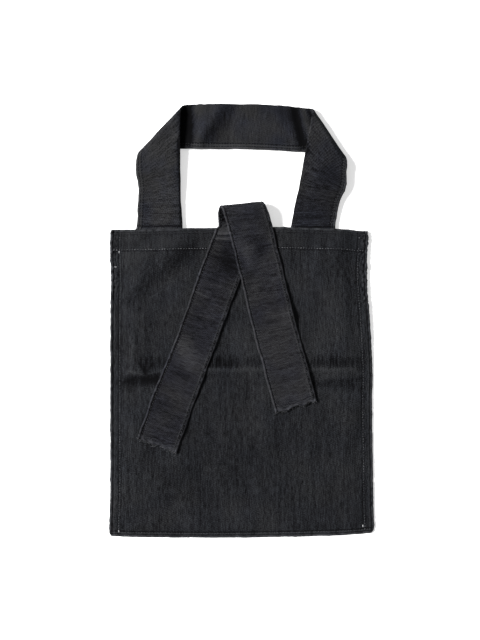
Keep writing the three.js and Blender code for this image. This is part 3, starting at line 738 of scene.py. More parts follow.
backLook = {
    "outline": (0.4, 30),
    "rim": (0.3, 1.2),
    "seams": (("side", bag["sideBand"], 0.9, 1), ("mouth", bag["hemDepth"], 0.9, 1),
              ("foot", frontLook["footSeam"], 0.9, 1)),
    "threadHeight": 0.5,  # middle of the stitches above the floor
    "threadRadius": 0.26,
}
grids = {  # mm between points, how much less at some places, and each place, its reach and its strength
    "front": {
        "across": (1.6, 0.8, ((0, 16, 1), (bag["width"], 16, 1), (145, 24, 0.8), (274, 22, 0.8))),
        "up": (1.6, 0.75, ((bag["height"] - bag["hemDepth"], 6, 1), (0, 14, 1), (bag["height"], 5, 1),
                           (frontLook["creaseY"] - bag["footY"], 16, 0.8))),
    },
    "back": {
        "across": (3.4, 2.2, ((0, 18, 1), (bag["width"], 18, 1))),
        "up": (3.4, 2.2, ((0, 12, 1), (bag["height"], 30, 1))),
    },
}
innerFloor = 2 * bag["cloth"] + 0.15  # lowest place of the front's inner face, above the back panel's bands


def panelGrid(grid, multiple=1):  # shares across and up of a grid of points
    across = unevenShares(bag["width"], *grid["across"], multiple)
    return np.meshgrid(across, unevenShares(bag["height"], *grid["up"], multiple), indexing="ij")


def edgeFray(across, up, amount, seed):  # places on the bag, with the outline wandering a little at its rims
    x, y = bagPlace(across, up)
    rim = rims(across, up)
    waves = unevenness(0, y, 6, seed) + 0.7 * unevenness(0, y, 19, seed + 1)
    side = amount * mix(0.35, 1, roughPart(y)) * waves
    end = 0.3 * amount * (unevenness(x, 0, 8, seed + 2) + unevenness(x, 0, 27, seed + 3))
    return x + side * bump(rim["side"], 5), y + end * (bump(rim["foot"], 5) + bump(rim["mouth"], 5))


def panelFaces(x, y, across, up, faces, middle, look):
    # Both faces of a panel: they close in on its middle towards the rims, and lie lower where it is pressed
    rimShare, rimRadius = look["rim"]
    full, keep = mix(rimShare, 1, rimPinch(across, up, rimRadius)), pressed(across, up)
    return [np.stack([x, y, (middle + (face - middle) * full) * keep], -1) for face in faces]


def frontPanel():
    # The inner face follows the drape without its small hollows, one or two cloths below the outer one
    across, up = panelGrid(grids["front"], 4)
    x, y = edgeFray(across, up, *frontLook["outline"])
    rim = rims(across, up)
    face = frontFace(across, up)
    calm = 1 - frontLook["calm"] * underTie(x, y)
    drape = np.maximum(frontDrape(across, up), -frontLook["hollow"]) * calm
    inner = np.minimum(frontTop(across, up) + drape, face) - bag["cloth"] * (1 + doubled(across, up))
    upper, lower = panelFaces(x, y, across, up, (face, inner), (face + inner) / 2, frontLook)
    lower[:, :, 2] = np.maximum(lower[:, :, 2], innerFloor * pressed(across, up))
    # shade: painted shade and highlights of the folds, wrinkles, crease, pleats and seam lines, and painted
    # mottled shade on the puckered raw margins
    shade = wrinkles(x, y, frontPaintedShading, "tone") + gathers(x, y, frontGathers, "tone")
    shade = shade + edgeLines(rim, frontEdges["tone"]) + frontLook["pleatPaintedShade"] * pleats(x, y)
    looks = {
        "wear": (0.6 + 0.6 * unevenness(x, y, 9, 26)) * edgeLines(rim, frontEdges["wear"]),
        "shade": shade + 0.15 * roughPart(y) * bump(rim["side"] - 5, 5) * unevenness(x * 1.5, y, 5, 27),
        "crisp": 1 - 0.2 * ease((bag["hemDepth"] - rim["mouth"]) / 3),
    }
    return clothMesh("front_cloth", upper, lower, np.stack([x, y], -1), looks, bodyDenim, 4)


def backPanel():  # flat cloth of one or two layers, hollow along its seams and a little uneven below
    across, up = panelGrid(grids["back"])
    x, y = edgeFray(across, up, *backLook["outline"])
    rim, bands = rims(across, up), doubled(across, up)
    seams = np.minimum(edgeLines(rim, backLook["seams"]), 1)
    floor = 0.03 + 0.3 * seams + 0.12 * (1 + unevenness(x, y, 40, 31) / 3) * (1 - bands)
    top = bag["cloth"] * (1 + bands)
    upper, lower = panelFaces(x, y, across, up, (top, floor), top / 2, backLook)
    # lighter rubbed rims, also standing in for their painted highlight
    wear = 0.7 * bump(rim["side"] - 1, 1.3) + 0.3 * bump(rim["mouth"] - 1, 1.4)
    # shade: painted shade in the grooves along the seams
    looks = {"wear": wear, "shade": -0.2 * seams, "crisp": np.ones_like(x)}
    return clothMesh("back_cloth", upper, lower, np.stack([x, y], -1), looks, bodyDenim)


frontCloth = frontPanel()
backCloth = backPanel()
print("panels made", len(frontCloth.data.polygons), len(backCloth.data.polygons))


# Straps


mouthY = bag["footY"] + bag["height"]
steps = {"tuck": 17, "leg": 97, "fold": 28, "cross": 109, "lower": 221, "over": 25, "loop": 36, "back": 21,
         "upper": 197, "end": 10}  # rows of points along each part of the straps


def station(x, y, heading, ruling, width, height):  # cross lines may lie askew and still give the true width
    length = width / np.abs(np.sin(np.radians(ruling - heading)))
    parts = np.broadcast_arrays(*(np.asarray(v, float) for v in (x, y, ruling, length, height)))
    return dict(zip(("x", "y", "ruling", "length", "height"), parts))


def joined(*runs):  # runs one after another
    return {key: np.concatenate([np.atleast_1d(run[key]) for run in runs]) for key in runs[0]}


def part(run, rows):  # some rows of a run, or one of them
    return {key: values[rows] for key, values in run.items()}


def halfTurn(start, end, startHeight, endHeight, ruling, outward, count):
    # Half a circle between stations: out by radius sin a, from one height to the other by (1 - cos a) / 2
    radius = abs(endHeight - startHeight) / 2
    t = np.arange(1, count) / count
    out = radius * np.sin(np.pi * t)
    return {"x": mix(start["x"], end["x"], t) + out * np.cos(np.radians(outward)),
            "y": mix(start["y"], end["y"], t) + out * np.sin(np.radians(outward)),
            "ruling": np.full(count - 1, float(ruling)), "length": mix(start["length"], end["length"], t),
            "height": mix(startHeight, endHeight, (1 - np.cos(np.pi * t)) / 2)}


def legPath(baseX, lean, foldRuling, table, foldY):
    # One leg from inside the mouth up to its fold: x leans by the tangent of its angle, and the cross lines
    # turn to the fold and the height rises to it by soft steps
    inside = 2 * bag["cloth"] + bag["gap"] + handle["thickness"] / 2
    foldTop = handle["floorGap"] + handle["thickness"] / 2 + 2 * handle["foldRadius"]
    centreX = lambda y: baseX + np.tan(np.radians(lean)) * np.maximum(y - mouthY, 0)
    mouthLine = bag["footY"] + bag["height"] * (1 - along(endLine, 0.5 + baseX / bag["width"], "mouth"))
    tuckY = np.linspace(mouthLine - handle["tuck"], mouthLine, steps["tuck"])
    tucked = station(centreX(tuckY), tuckY, 90, 0, handle["width"] * table["width"][0], inside)
    t = np.linspace(0, 1, steps["leg"])[1:]
    y = mix(mouthLine, foldY, t)
    ruling = mix(0, foldRuling, ease((t - handle["skewStart"]) / (1 - handle["skewStart"])))
    free = station(centreX(y) + handle["width"] * along(table, t, "aside"), y, 90 - lean, ruling,
                   handle["width"] * along(table, t, "width"), mix(inside, foldTop, ease(t)))
    return joined(tucked, free)


def handlePath():  # left leg up, under at the left corner, across, out at the right one and down
    rest = handle["floorGap"] + handle["thickness"] / 2
    top = rest + 2 * handle["foldRadius"]
    leftX = (handle["width"] - bag["width"]) / 2 + handle["leftInset"]
    rightX = (bag["width"] - handle["width"]) / 2 - handle["rightInset"]
    middleY = mouthY + handle["rise"] - handle["width"] / 2
    crossY = lambda t: middleY - handle["crossDrop"] * along(crossLine, t, "drop")
    leftLeg = legPath(leftX, 0, handle["leftFold"], leftLegLine, crossY(0) - handle["foldStep"])
    rightLeg = legPath(rightX, handle["rightLean"], handle["rightFold"] - 180, rightLegLine,
                       crossY(1) - handle["foldStep"])
    startX, endX = [leg["x"][-1] + handle["foldStep"] / np.tan(np.radians(fold))
                    for leg, fold in ((leftLeg, handle["leftFold"]), (rightLeg, handle["rightFold"]))]
    t = np.linspace(0, 1, steps["cross"])
    ruling = mix(handle["leftFold"], 90, ease(t / handle["crossSkew"]))
    ruling = mix(ruling, handle["rightFold"], ease(1 - (1 - t) / handle["crossSkew"]))
    lift = rest + handle["foldRadius"] * along(crossLine, t, "lift")
    width = handle["width"] * along(crossLine, t, "width")
    cross = station(mix(startX, endX, t), crossY(t), 0, ruling, width, lift)
    corners = ((leftLeg, 0, handle["leftFold"], 90), (rightLeg, -1, handle["rightFold"], -90))
    leftTurn, rightTurn = [
        halfTurn(part(leg, -1), part(cross, row), top, rest, fold, fold + side, steps["fold"])
        for leg, row, fold, side in corners]
    downRight = part(rightLeg, slice(None, None, -1))
    downRight["ruling"] = downRight["ruling"] + 180
    return joined(leftLeg, leftTurn, cross, part(rightTurn, slice(None, None, -1)), downRight)


def tieRunPath(run, t):  # a run of the tie at shares of its drop, whose height comes from what lies below
    x, y, heading, width = run(t)
    ruling = mix(heading + 90, tie["loopAngle"], ease(1 - t / tie["skew"]))
    return station(x, y, heading, ruling, width, np.nan)


def tiePath():  # left end up the bag, over the mouth, round the loop on the surface, down to the right end
    lead, angle, startX = tie["mouthLead"], tie["loopAngle"], tie["loopCentre"]
    rest = tie["floorGap"] + tie["thickness"] / 2
    loopTop = rest + 2 * tie["loopRadius"]
    turnY = mouthY + tie["loopReach"] - tie["loopRadius"] - tie["thickness"] / 2
    low = tieRunPath(lowerRun, np.linspace(1, 0, steps["lower"]))
    high = tieRunPath(upperRun, np.linspace(0, 1, steps["upper"]))
    t = np.linspace(lead, 1, steps["over"])
    height = mix(onPanel(startX, mouthY), rest, ease((t - lead) / (1 - lead)))
    over = station(startX, mix(mouthY, turnY, t), 90, angle, lowerRun(0.0)[3], height)
    overX, overY = startX + tie["loopShift"], turnY + tie["loopShift"] * np.tan(np.radians(angle))
    startHigh = station(overX, overY, 90, angle, tie["width"], loopTop)
    turn = halfTurn(part(over, -1), startHigh, rest, loopTop, angle, angle + 90, steps["loop"])
    t = np.linspace(0, 1 - lead, steps["back"])
    firstX = upperRun(0.0)[0]
    back = station(mix(overX, firstX, t), mix(overY, mouthY, t), -90, angle, tie["width"],
                   mix(loopTop, onLowerRun(firstX, mouthY), ease(t)))
    loopFrom = len(low["x"]) + len(over["x"]) + len(turn["x"]) // 2
    return joined(low, over, turn, back, high), loopFrom


def strapCloth(path, size, resting, lift, look, ends=None):
    # Points of both faces: along the route, across by shares, and out along the normal by half the
    # thickness, which falls to the rim along a quarter circle. The face that lies up shows the most relief
    width = size["width"]
    share = unevenShares(width, 1.5, 1, ((0, 7, 1), (width, 7, 1))) - 0.5
    turn = np.radians(path["ruling"])[:, None]
    ahead = np.hypot(np.diff(path["x"]), np.diff(path["y"]))
    run = np.concatenate([[0], np.cumsum(ahead)])[:, None]
    reach = share * path["length"][:, None]
    for side, near, far, seed in ((-1, 13, 41, 36), (1, 15, 37, 38)):
        wander = 0.13 * unevenness(run, 0, near, seed) + 0.3 * unevenness(run, 0, far, seed + 1)
        reach = reach + wander * ease(side * share * 6 - 2)
    x = path["x"][:, None] + reach * np.cos(turn)
    y = path["y"][:, None] + reach * np.sin(turn)
    if ends is not None:
        y = ends(y, share)
    z = path["height"][:, None] * np.ones_like(x)
    for rows, height in resting:
        z[rows] = height(x[rows], y[rows])
    step = ahead + np.abs(np.diff(z[:, len(share) // 2])) * 0.7
    s = np.concatenate([[0], np.cumsum(step)])[:, None] * np.ones_like(x)
    start, end = (0.5 + share) * width * np.ones_like(x), (0.5 - share) * width * np.ones_like(x)
    field = {"x": x, "y": y, "s": s, "start": start, "end": end, "cut": np.minimum(s, s.max() - s)}
    middle = np.stack([x, y, z + lift(field)], -1)
    normal = unit(np.cross(np.gradient(middle, axis=0), np.gradient(middle, axis=1)))
    half = size["thickness"] / 2 * mix(0.2, 1, dome(np.minimum(start, end), 1.3))
    faceUp = ease(0.5 + 0.9 * normal[:, :, 2])
    faces = []
    for seed, outward, shown in ((1, 1, faceUp), (2, -1, 1 - faceUp)):
        height = half + strapRelief(field, look, seed) * mix(0.1, 1, shown)
        face = middle + outward * normal * height[:, :, None]
        face[:, :, 2] = np.maximum(face[:, :, 2], 0.05)
        faces.append(face)
    return {**field, "upper": faces[0], "lower": faces[1], "normal": normal}


def strapRelief(field, look, seed):  # rolled edges, grooves, puckered seams, unevenness and fine wrinkles
    x, y, s, start = (field[key] for key in ("x", "y", "s", "start"))
    height = edgeLines(field, look["height"])
    height = height + puckers(s, look["pitch"], seed) * edgeLines(field, look["pucker"])
    height = height + 0.16 * unevenness(x, y, look["broad"], look["seed"] + seed)
    height = height + 0.04 * unevenness(s, start, look["fine"], look["seed"] + 10 + seed)
    height = height + wrinkles(x, y, look["wrinkles"], "height", 0.3) * look["wrinkled"]
    return np.clip(height + gathers(x, y, look["gathers"], "height"), -0.8, look["highest"])


def strapMesh(name, strap, look, tone, crisp, material):
    # Wear along the edges, and painted shade and highlights of folds, gathers and the lines along the seams
    x, y, s, start = (strap[key] for key in ("x", "y", "s", "start"))
    wear = (0.6 + 0.6 * unevenness(s, start, 8, look["seed"] + 6)) * edgeLines(strap, look["wear"])
    shade = wrinkles(x, y, look["shades"], "tone") + gathers(x, y, look["gathers"], "tone") + tone
    looks = {"wear": wear, "shade": shade, "crisp": crisp * np.ones_like(x)}
    return clothMesh(name, strap["upper"], strap["lower"], np.stack([s, start], -1), looks, material)


handleLook = {
    "seams": (6.6, 3.6),  # distance of the stitch rows from the start edge
    "bare": 18,  # rows of points at both ends of the strap that have no stitches
    "height": (("start", 2.2, 2, 0.35), ("start", 3.6, 0.8, -0.25), ("start", 6.6, 0.7, -0.175),
               ("end", 1.5, 1.4, 0.1)),
    # wear: rubbed rims, also standing in for their painted highlight
    "wear": (("start", 1.5, 1.3, 0.35), ("end", 0.8, 1.2, 0.1)),
    "pucker": (("start", 4, 5, 0.13),),
    "pitch": 4.6,  # mm from pucker to pucker
    "broad": 26,  # mm of the cloth's unevenness
    "fine": 6,
    "highest": 0.7,
    "seed": 40,
    "crossLeft": pixelX(180),  # ends and foot of the cross piece
    "crossRight": pixelX(307),
    "crossFoot": pixelY(150),
    "wrinkled": 0,  # its wrinkles move the whole cloth instead
    # Painted shadow of the left leg on the cross piece, painted shade in the corners of the folds, at the
    # mouth and along the left leg's inner edge, the left leg painted lit and the right one shaded, and
    # painted highlights on the cross piece's folds
    "shades": placed({  # painted shading, ends in pixels of the photograph, width in mm, and tone
        "x0": [232, 214, 198, 262, 294, 303, 150, 160, 172, 340, 330, 128, 296, 236, 186, 286, 179, 308,
               240],
        "y0": [104, 132, 104, 108, 110, 108, 140, 160, 120, 150, 170, 226.7, 227, 143, 102, 112, 142, 110,
               141],
        "x1": [205, 230, 197, 300, 305, 309, 160, 172, 180, 330, 300, 186, 344, 300, 186.5, 300, 182, 311,
               286],
        "y1": [144, 118, 150, 120, 152, 132, 220, 220, 140, 215, 215, 226.2, 227, 148, 152, 150, 226, 116,
               143],
        "width": [11, 12, 7, 14, 4.5, 2.5, 22, 24, 12, 20, 14, 1, 1, 4, 7.3, 8, 2.2, 2.2, 8],
        "tone": [-0.22, -0.1, 0.14, -0.1, -0.85, 0.3, 0.12, 0.06, 0.15, -0.14, -0.08, -0.5, -0.5, 0.1, -1.4,
                 -0.22, -1, -0.5, -0.1],
    }),
    "gathers": placed({
        "x": [158, 160, 330, 322, 250, 212],
        "y": [178, 205, 165, 205, 122, 118],
        "size": [18, 16, 18, 16, 24, 14],
        "pitch": [5, 4.4, 5.4, 4.8, 9, 5],
        "turn": [-6, 4, 10, -4, 70, 60],
        "bend": [0.3, -0.2, -0.3, 0.3, 0.2, 0.2],
        "height": [0.08, 0.08, 0.1, 0.08, 0.15, 0.1],
        # tone: painted highlights and shade of the wrinkles
        "tone": [0.1, 0.1, 0.1, 0.12, 0.06, 0.06],
    }),
    "wrinkles": placed({  # ends in pixels of the photograph, width and height in mm
        "x0": [212, 227, 208, 294, 301, 318, 322, 150, 146, 158, 163, 300, 243, 288],
        "y0": [108, 98, 139, 108, 110, 206, 196, 172, 189, 205, 176, 192, 108, 104],
        "x1": [216, 194, 228, 305, 307, 334, 338, 172, 168, 176, 178, 318, 230, 298],
        "y1": [118, 152, 109, 152, 128, 198, 190, 168, 186, 209, 173, 186, 142, 150],
        "width": [1.5, 8, 6, 3, 2.5, 1.6, 1.5, 1.8, 1.6, 1.6, 1.4, 1.6, 7, 5],
        "height": [0.35, 2.6, -0.5, -0.6, 0.9, 0.3, -0.25, 0.25, -0.25, 0.2, 0.2, 0.25, 0.8, 1.5],
    }),
}
tieLook = {
    "seams": {"start": 4.2, "end": 3.3},  # distance of a stitch row from either edge
    "bare": 3,
    "height": (("start", 1.4, 1, 0.34), ("start", 4.2, 0.8, -0.45), ("end", 3.3, 0.8, -0.45),
               ("end", 2, 1.1, 0.3)),
    # wear: rubbed rims, also standing in for their painted highlight, and the frayed cut ends
    "wear": (("start", 1.4, 1.2, 0.3), ("end", 1.8, 1.2, 0.3), ("cut", 1, 2.6, 0.45)),
    # Painted light and dark lines along the edges: highlights of the rolled rims, shade in the stitch grooves
    "tone": paintedLines("end", ((0.8, 0.5), (2.3, -0.9), (3.2, -0.8), (4.9, 0.5))),
    "upperPaintedLines": paintedLines("start", ((1.2, 0.42), (3.2, -0.55))),
    "lowerPaintedLines": paintedLines("start", ((1.2, 0.2), (3.1, -0.9), (4.3, -0.8))),
    "pucker": (("start", 3, 4, 0.1), ("end", 5, 4, 0.1)),
    "pitch": 4.2,
    "broad": 24,
    "fine": 5,
    "highest": 0.8,
    "seed": 60,
    "edgeLift": 0.3,  # how high the right edges stand off the bag
    "waveLift": 3,
    "waveY": pixelY(314),
    "freeTop": pixelY(232),  # the part of the runs whose edges stand off, and the lower run's top
    "freeFoot": pixelY(392),
    "lowerTop": pixelY(262),
    "endLift": 1.1,  # how far the cut ends curl up, and over what length
    "endReach": 7,
    "loopBulge": 2.5,
    "rough": 0.6,  # rough seam of the layer inside the loop
    "roughY": pixelY(224),
    "wrinkled": 1,
    # Painted shade and highlights: the lower run shaded where it slopes away, lit and shaded wrinkles below
    # the loop and on the left run, and broad lighter and darker places
    "shades": placed({
        "x0": [182, 178, 243, 238, 226, 212, 200, 300, 268, 196, 160, 292, 272, 176, 254, 218, 216, 215,
               214, 196, 199, 192, 190, 205, 262],
        "y0": [347, 342, 246, 240, 256, 280, 300, 260, 312, 262, 400, 400, 240, 372, 240, 234, 236.5, 239,
               242, 292, 300, 313, 318, 283, 247],
        "x1": [191, 192, 250, 240, 234, 230, 190, 296, 286, 204, 172, 300, 300, 194, 262, 231, 230, 232,
               233, 206, 214, 214, 213, 222, 274],
        "y1": [361, 343, 266, 268, 262, 272, 330, 300, 318, 290, 420, 384, 232, 376, 252, 233, 236, 239.5,
               243, 297, 305, 319, 324, 287, 244],
        "width": [12, 3, 7, 4, 16, 16, 14, 8, 8, 9, 16, 16, 12, 5, 7, 1.1, 1, 1, 1, 1.2, 1.2, 1.3, 1.2, 1.2,
                  1.5],
        "tone": [0.3, 0.15, 0.3, 0.16, -0.4, -0.2, -0.12, -0.12, 0.12, 0.1, -0.16, 0.08, 0.08, -0.14, -0.2,
                 0.5, -0.6, 0.5, -0.4, 0.26, -0.18, 0.22, -0.18, 0.2, -0.4],
    }),
    "gathers": placed({
        "x": [208, 196, 182, 228, 292, 262, 286, 155],
        "y": [296, 322, 352, 230, 262, 300, 365, 415],
        "size": [20, 15, 16, 10, 16, 18, 18, 16],
        "pitch": [6, 5, 4.6, 3.8, 5.8, 6, 4.4, 5],
        "turn": [-16, -24, 8, -10, 12, -10, 8, 14],
        "bend": [-0.5, -0.4, 0.4, 0.2, 0.3, 0.3, 0.5, 0.3],
        "height": [0.16, 0.14, 0.12, 0.4, 0.12, 0.08, 0.1, 0.1],
        # tone: painted highlights and shade of the wrinkles
        "tone": [0.15, 0.13, 0.15, 0.45, 0.12, 0.1, 0.12, 0.1],
    }),
    "wrinkles": placed({
        "x0": [250, 246, 192, 186, 197, 150, 155, 166, 218, 222, 268, 292, 262, 230],
        "y0": [246, 250, 300, 316, 287, 400, 388, 357, 236, 229, 352, 330, 290, 262],
        "x1": [273, 270, 222, 205, 228, 176, 180, 186, 236, 240, 300, 304, 285, 246],
        "y1": [243, 247, 322, 330, 300, 407, 396, 362, 239, 226, 347, 326, 284, 266],
        "width": [1.3, 1.6, 2, 1.8, 1.8, 1.9, 1.8, 4, 1.2, 1.4, 2.4, 2, 2.2, 2],
        "height": [-0.55, 0.45, 0.4, -0.35, 0.3, 0.35, -0.3, 0.5, -0.5, 0.4, 0.25, -0.25, 0.2, 0.25],
    }),
}


def handleLift(field):  # only the cross piece and the legs' middles have room to rise and fall
    folds = wrinkles(field["x"], field["y"], handleLook["wrinkles"], "height", 0.3)
    return ease((field["y"] - mouthY - 12) / 20) * np.maximum(folds, -0.6)


def tieLift(field):
    # The right edge of both runs stands off the bag, most where the upper run waves, the layer inside the
    # loop bulges up at its left edge, and the cut ends curl up
    look, x, y = tieLook, field["x"], field["y"]
    upperAside, upperHalf, _ = besideRun(upperRun, tie["rightDrop"], x, y)
    lowerAside, lowerHalf, _ = besideRun(lowerRun, tie["leftDrop"], x, y)
    free = look["edgeLift"] * ease((look["freeTop"] - y) / 12) * ease((y - look["freeFoot"]) / 30)
    wave = look["waveLift"] * bump(y - look["waveY"], 12) + free
    upperLift = wave * ease((upperAside / upperHalf - 0.35) / 0.65) * (upperAside < upperHalf + 4)
    lowerLift = free * ease((lowerAside / lowerHalf - 0.5) / 0.5) * ease((look["lowerTop"] - y) / 14)
    bulge = look["loopBulge"] * ease((y - look["freeTop"]) / 8) * bump(field["start"], 7)
    inLoop = lowerLift + bulge + look["rough"] * loopRoughness(field)
    lift = np.where(field["s"] > loopStart, upperLift, inLoop)
    return lift + look["endLift"] * bump(field["cut"], look["endReach"])


def loopRoughness(field):  # rough seam and creases inside the loop
    inside = ease((field["y"] - tieLook["roughY"]) / 4) * (field["s"] < loopStart)
    return inside * unevenness(field["x"] * 1.3, field["y"], 3.6, 91)


def tieEnds(y, share):  # both cut ends run unevenly, fading out inwards over a few rows
    count = steps["end"]
    for rows, outward, seed in ((slice(0, count), -1, 80), (slice(-count, None), 1, 84)):
        aside = share * tie["width"]
        wander = 0.9 * unevenness(aside, 0, 14, seed) + 0.5 * unevenness(aside, 0, 3.1, seed + 1)
        y[rows] = y[rows] - np.linspace(0, 1, count)[::outward, None] * wander
    return y


def handleCloth():  # the cross piece shows stronger painted seam lines and a softer grain than the legs
    look = handleLook
    strap = strapCloth(handlePath(), handle, [], handleLift, look)
    x, y = strap["x"], strap["y"]
    onRight = ease((x - look["crossRight"]) / 4)
    onCross = ease((x - look["crossLeft"]) / 4) * ease((look["crossRight"] - x) / 4)
    onCross = onCross * ease((y - look["crossFoot"]) / 4)
    # Painted seam lines, stronger on the cross piece, which is also a little lighter, and a painted highlight
    # along the stitched edge on the left
    tone = (1.4 + 0.6 * onCross) * edgeLines(strap, paintedLines("start", seamPaintedLines)) + 0.12 * onCross
    tone = tone + 0.22 * (x < 0) * bump(strap["start"] - 3, 4)
    crisp = 1 - 0.45 * onCross - 0.2 * onRight
    return strap, strapMesh("handle_cloth", strap, look, tone, crisp, handleDenim)


tieRoute, loopRow = tiePath()
loopStart = np.hypot(np.diff(tieRoute["x"]), np.diff(tieRoute["y"]))[:loopRow].sum()  # mm from the left end


def tieCloth():  # each run has its own painted lines along the left edge, and painted shade inside the loop
    look = tieLook
    resting = ((slice(0, steps["lower"]), onPanel), (slice(-steps["upper"], None), onLowerRun))
    strap = strapCloth(tieRoute, tie, resting, tieLift, look, tieEnds)
    s, y = strap["s"], strap["y"]
    left = [edgeLines(strap, look[key]) for key in ("upperPaintedLines", "lowerPaintedLines")]
    cut = {"cut": strap["cut"] + 1.2 * unevenness(strap["start"], 0, 9, 67)}
    tone = np.where(s > loopStart, *left) + edgeLines(strap, look["tone"])
    tone = tone + edgeLines(cut, paintedLines("cut", seamPaintedLines, 1.2))
    # Painted shade on the layer inside the loop and mottled over its rough seam, and a painted highlight
    # where that layer climbs over the mouth
    inside = 0.35 * loopRoughness(strap) - 0.85 * ease((y - look["roughY"]) / 3)
    inside = inside + 0.34 * bump(y - look["freeTop"], 9) * (s > 200)
    tone = tone + (s < loopStart + 10) * inside
    return strap, strapMesh("tie_cloth", strap, look, tone, 1, tieDenim)


handleStrap, handlePiece = handleCloth()
tieStrap, tiePiece = tieCloth()
print("straps made", len(handlePiece.data.polygons), len(tiePiece.data.polygons))


# Stitches


stitchLook = {
    "pitch": 3.4,  # mm from stitch to stitch
    "share": 0.55,  # part of the pitch that the thread shows
    "radius": 0.25,
    "sideRadius": 0.2,
    "tackRadius": 0.575,
    "tackPitch": 1.3,
    "tackLength": 3.6,
    "strapRadius": 0.2,
    "tacks": ((115.8, 267, 0), (119, 530.5, 90), (362.6, 525, 90), (119.4, 252, 90)),  # pixels, degrees
    "hem": (0.012, 0.988),  # where each seam of a panel starts and ends, as shares across or up
    "hemTack": (0.962, 0.986),
    "side": (0.012, 0.945),
    "foot": (0.006, 0.994),
}
line = np.linspace(0, 1, 900)


def panelLine(across, up, front):  # points and normals of a line on the outer face of the front or back panel
    x, y = edgeFray(across, up, *(frontLook if front else backLook)["outline"])
    z = frontFace(across, up) * pressed(across, up) if front else backLook["threadHeight"] + 0 * x
    points = np.stack([x, y, z], -1)
    return points, np.broadcast_to([0, 0, 1.0 if front else -1.0], points.shape)


def seamRow(fromAcross, toAcross, fromUp, toUp, radius, front=True):  # a row of stitches between two places
    return (*panelLine(mix(fromAcross, toAcross, line), mix(fromUp, toUp, line), front), radius)


def tack(px, py, turn):  # a short row of stitches on the front, its middle in pixels of the photograph
    reach = stitchLook["tackLength"] * (line - 0.5)
    place = pixelX(px) + reach * np.cos(np.radians(turn)), pixelY(py) + reach * np.sin(np.radians(turn))
    return (*panelLine(*bagShares(*place), True), stitchLook["tackRadius"])


def seamLine(strap, edge, fromEdge, skip, radius):  # rows on both faces of a strap, some way in from an edge
    distance, rows = strap[edge][0], slice(skip, -skip)
    order = np.argsort(distance)
    position = np.interp(fromEdge, distance[order], order.astype(float))
    low = int(np.floor(position))
    pick = lambda grid: mix(grid[rows, low], grid[rows, min(low + 1, grid.shape[1] - 1)], position - low)
    normal = pick(strap["normal"])
    return [(pick(strap["upper"]), normal, radius), (pick(strap["lower"]), -normal, radius)]


def stitchPiece(name, rows, material, seed, pitch=stitchLook["pitch"]):
    made = [stitchPaths(points, normals, pitch, stitchLook["share"], radius, seed + k)
            for k, (points, normals, radius) in enumerate(rows)]
    return threadTubes(name, *(np.concatenate(parts) for parts in zip(*made)), material)


side, foot = bag["sideBand"] / bag["width"], frontLook["footSeam"] / bag["height"]
hem = 1 - bag["hemDepth"] / bag["height"]
thread, backThread, strapThread = stitchLook["radius"], backLook["threadRadius"], stitchLook["strapRadius"]
across, up = stitchLook["hem"], stitchLook["side"]
hemRows = [seamRow(*across, hem, hem, thread)]
hemRows += [seamRow(at, at, *stitchLook["hemTack"], thread) for at in (side, 1 - side)]
sideRows = [seamRow(at, at, *up, stitchLook["sideRadius"]) for at in (side, 1 - side)]
footRows = [seamRow(*stitchLook["foot"], foot, foot, thread)]
backRows = [seamRow(*ends, backThread, False) for ends in (
    (*across, hem, hem), (side, side, *up), (1 - side, 1 - side, *up), (*across, foot, foot))]
tackRows = [tack(*at) for at in stitchLook["tacks"]]
handleRows = [row for at in handleLook["seams"]
              for row in seamLine(handleStrap, "start", at, handleLook["bare"], strapThread)]
tieRows = [row for edge in ("start", "end")
           for row in seamLine(tieStrap, edge, tieLook["seams"][edge], tieLook["bare"], strapThread)]
hemStitches = stitchPiece("hem_stitches", hemRows, brightThread, 100)
tacks = stitchPiece("tacks", tackRows, tackThread, 102, stitchLook["tackPitch"])
sideStitches = stitchPiece("side_stitches", sideRows, greyThread, 105)
footStitches = stitchPiece("foot_stitches", footRows, darkThread, 110)
backStitches = stitchPiece("back_stitches", backRows, greyThread, 120)
handleStitches = stitchPiece("handle_stitches", handleRows, darkThread, 130)
tieStitches = stitchPiece("tie_stitches", tieRows, darkThread, 140)
print("stitches made", len(hemStitches.data.polygons), len(handleStitches.data.polygons))


# Loose yarn at the cut ends of the tie and along the raw side margins


def yarnTubes(name, starts, headings, lengths, sag, seed):
    # Each yarn leaves its start along its heading, curls by a sine and sags with the square of its length
    rng = np.random.default_rng(seed)
    count = len(starts)
    t = np.linspace(0, 1, 5)
    aside = np.stack([-headings[:, 1], headings[:, 0], np.zeros(count)], -1)
    curl = rng.normal(0, 0.35, count)[:, None] * np.sin(np.pi * t * rng.uniform(0.5, 1.6, count)[:, None])
    ahead, sideways = (lengths[:, None] * t)[:, :, None], (curl * lengths[:, None])[:, :, None]
    paths = starts[:, None] + headings[:, None] * ahead + aside[:, None] * sideways
    paths[:, :, 2] += -sag[:, None] * t ** 2 + 0.1
    radii = rng.uniform(0.13, 0.24, count)[:, None] * np.array([1, 1, 0.9, 0.8, 0.4])
    return threadTubes(name, paths, radii, frayYarn, 4, rng.uniform(0, 1, count) ** 1.6)


fray = {
    "tieCount": 120,  # yarns at each cut end, and along each raw side margin
    "sideCount": 70,
    "tieLength": 0.65,  # mm, times a number of about 3 that is drawn for each yarn
    "sideLength": 0.42,
    "tieTurn": 0.5,  # radians that a yarn turns aside
    "sideTurn": 0.9,
}


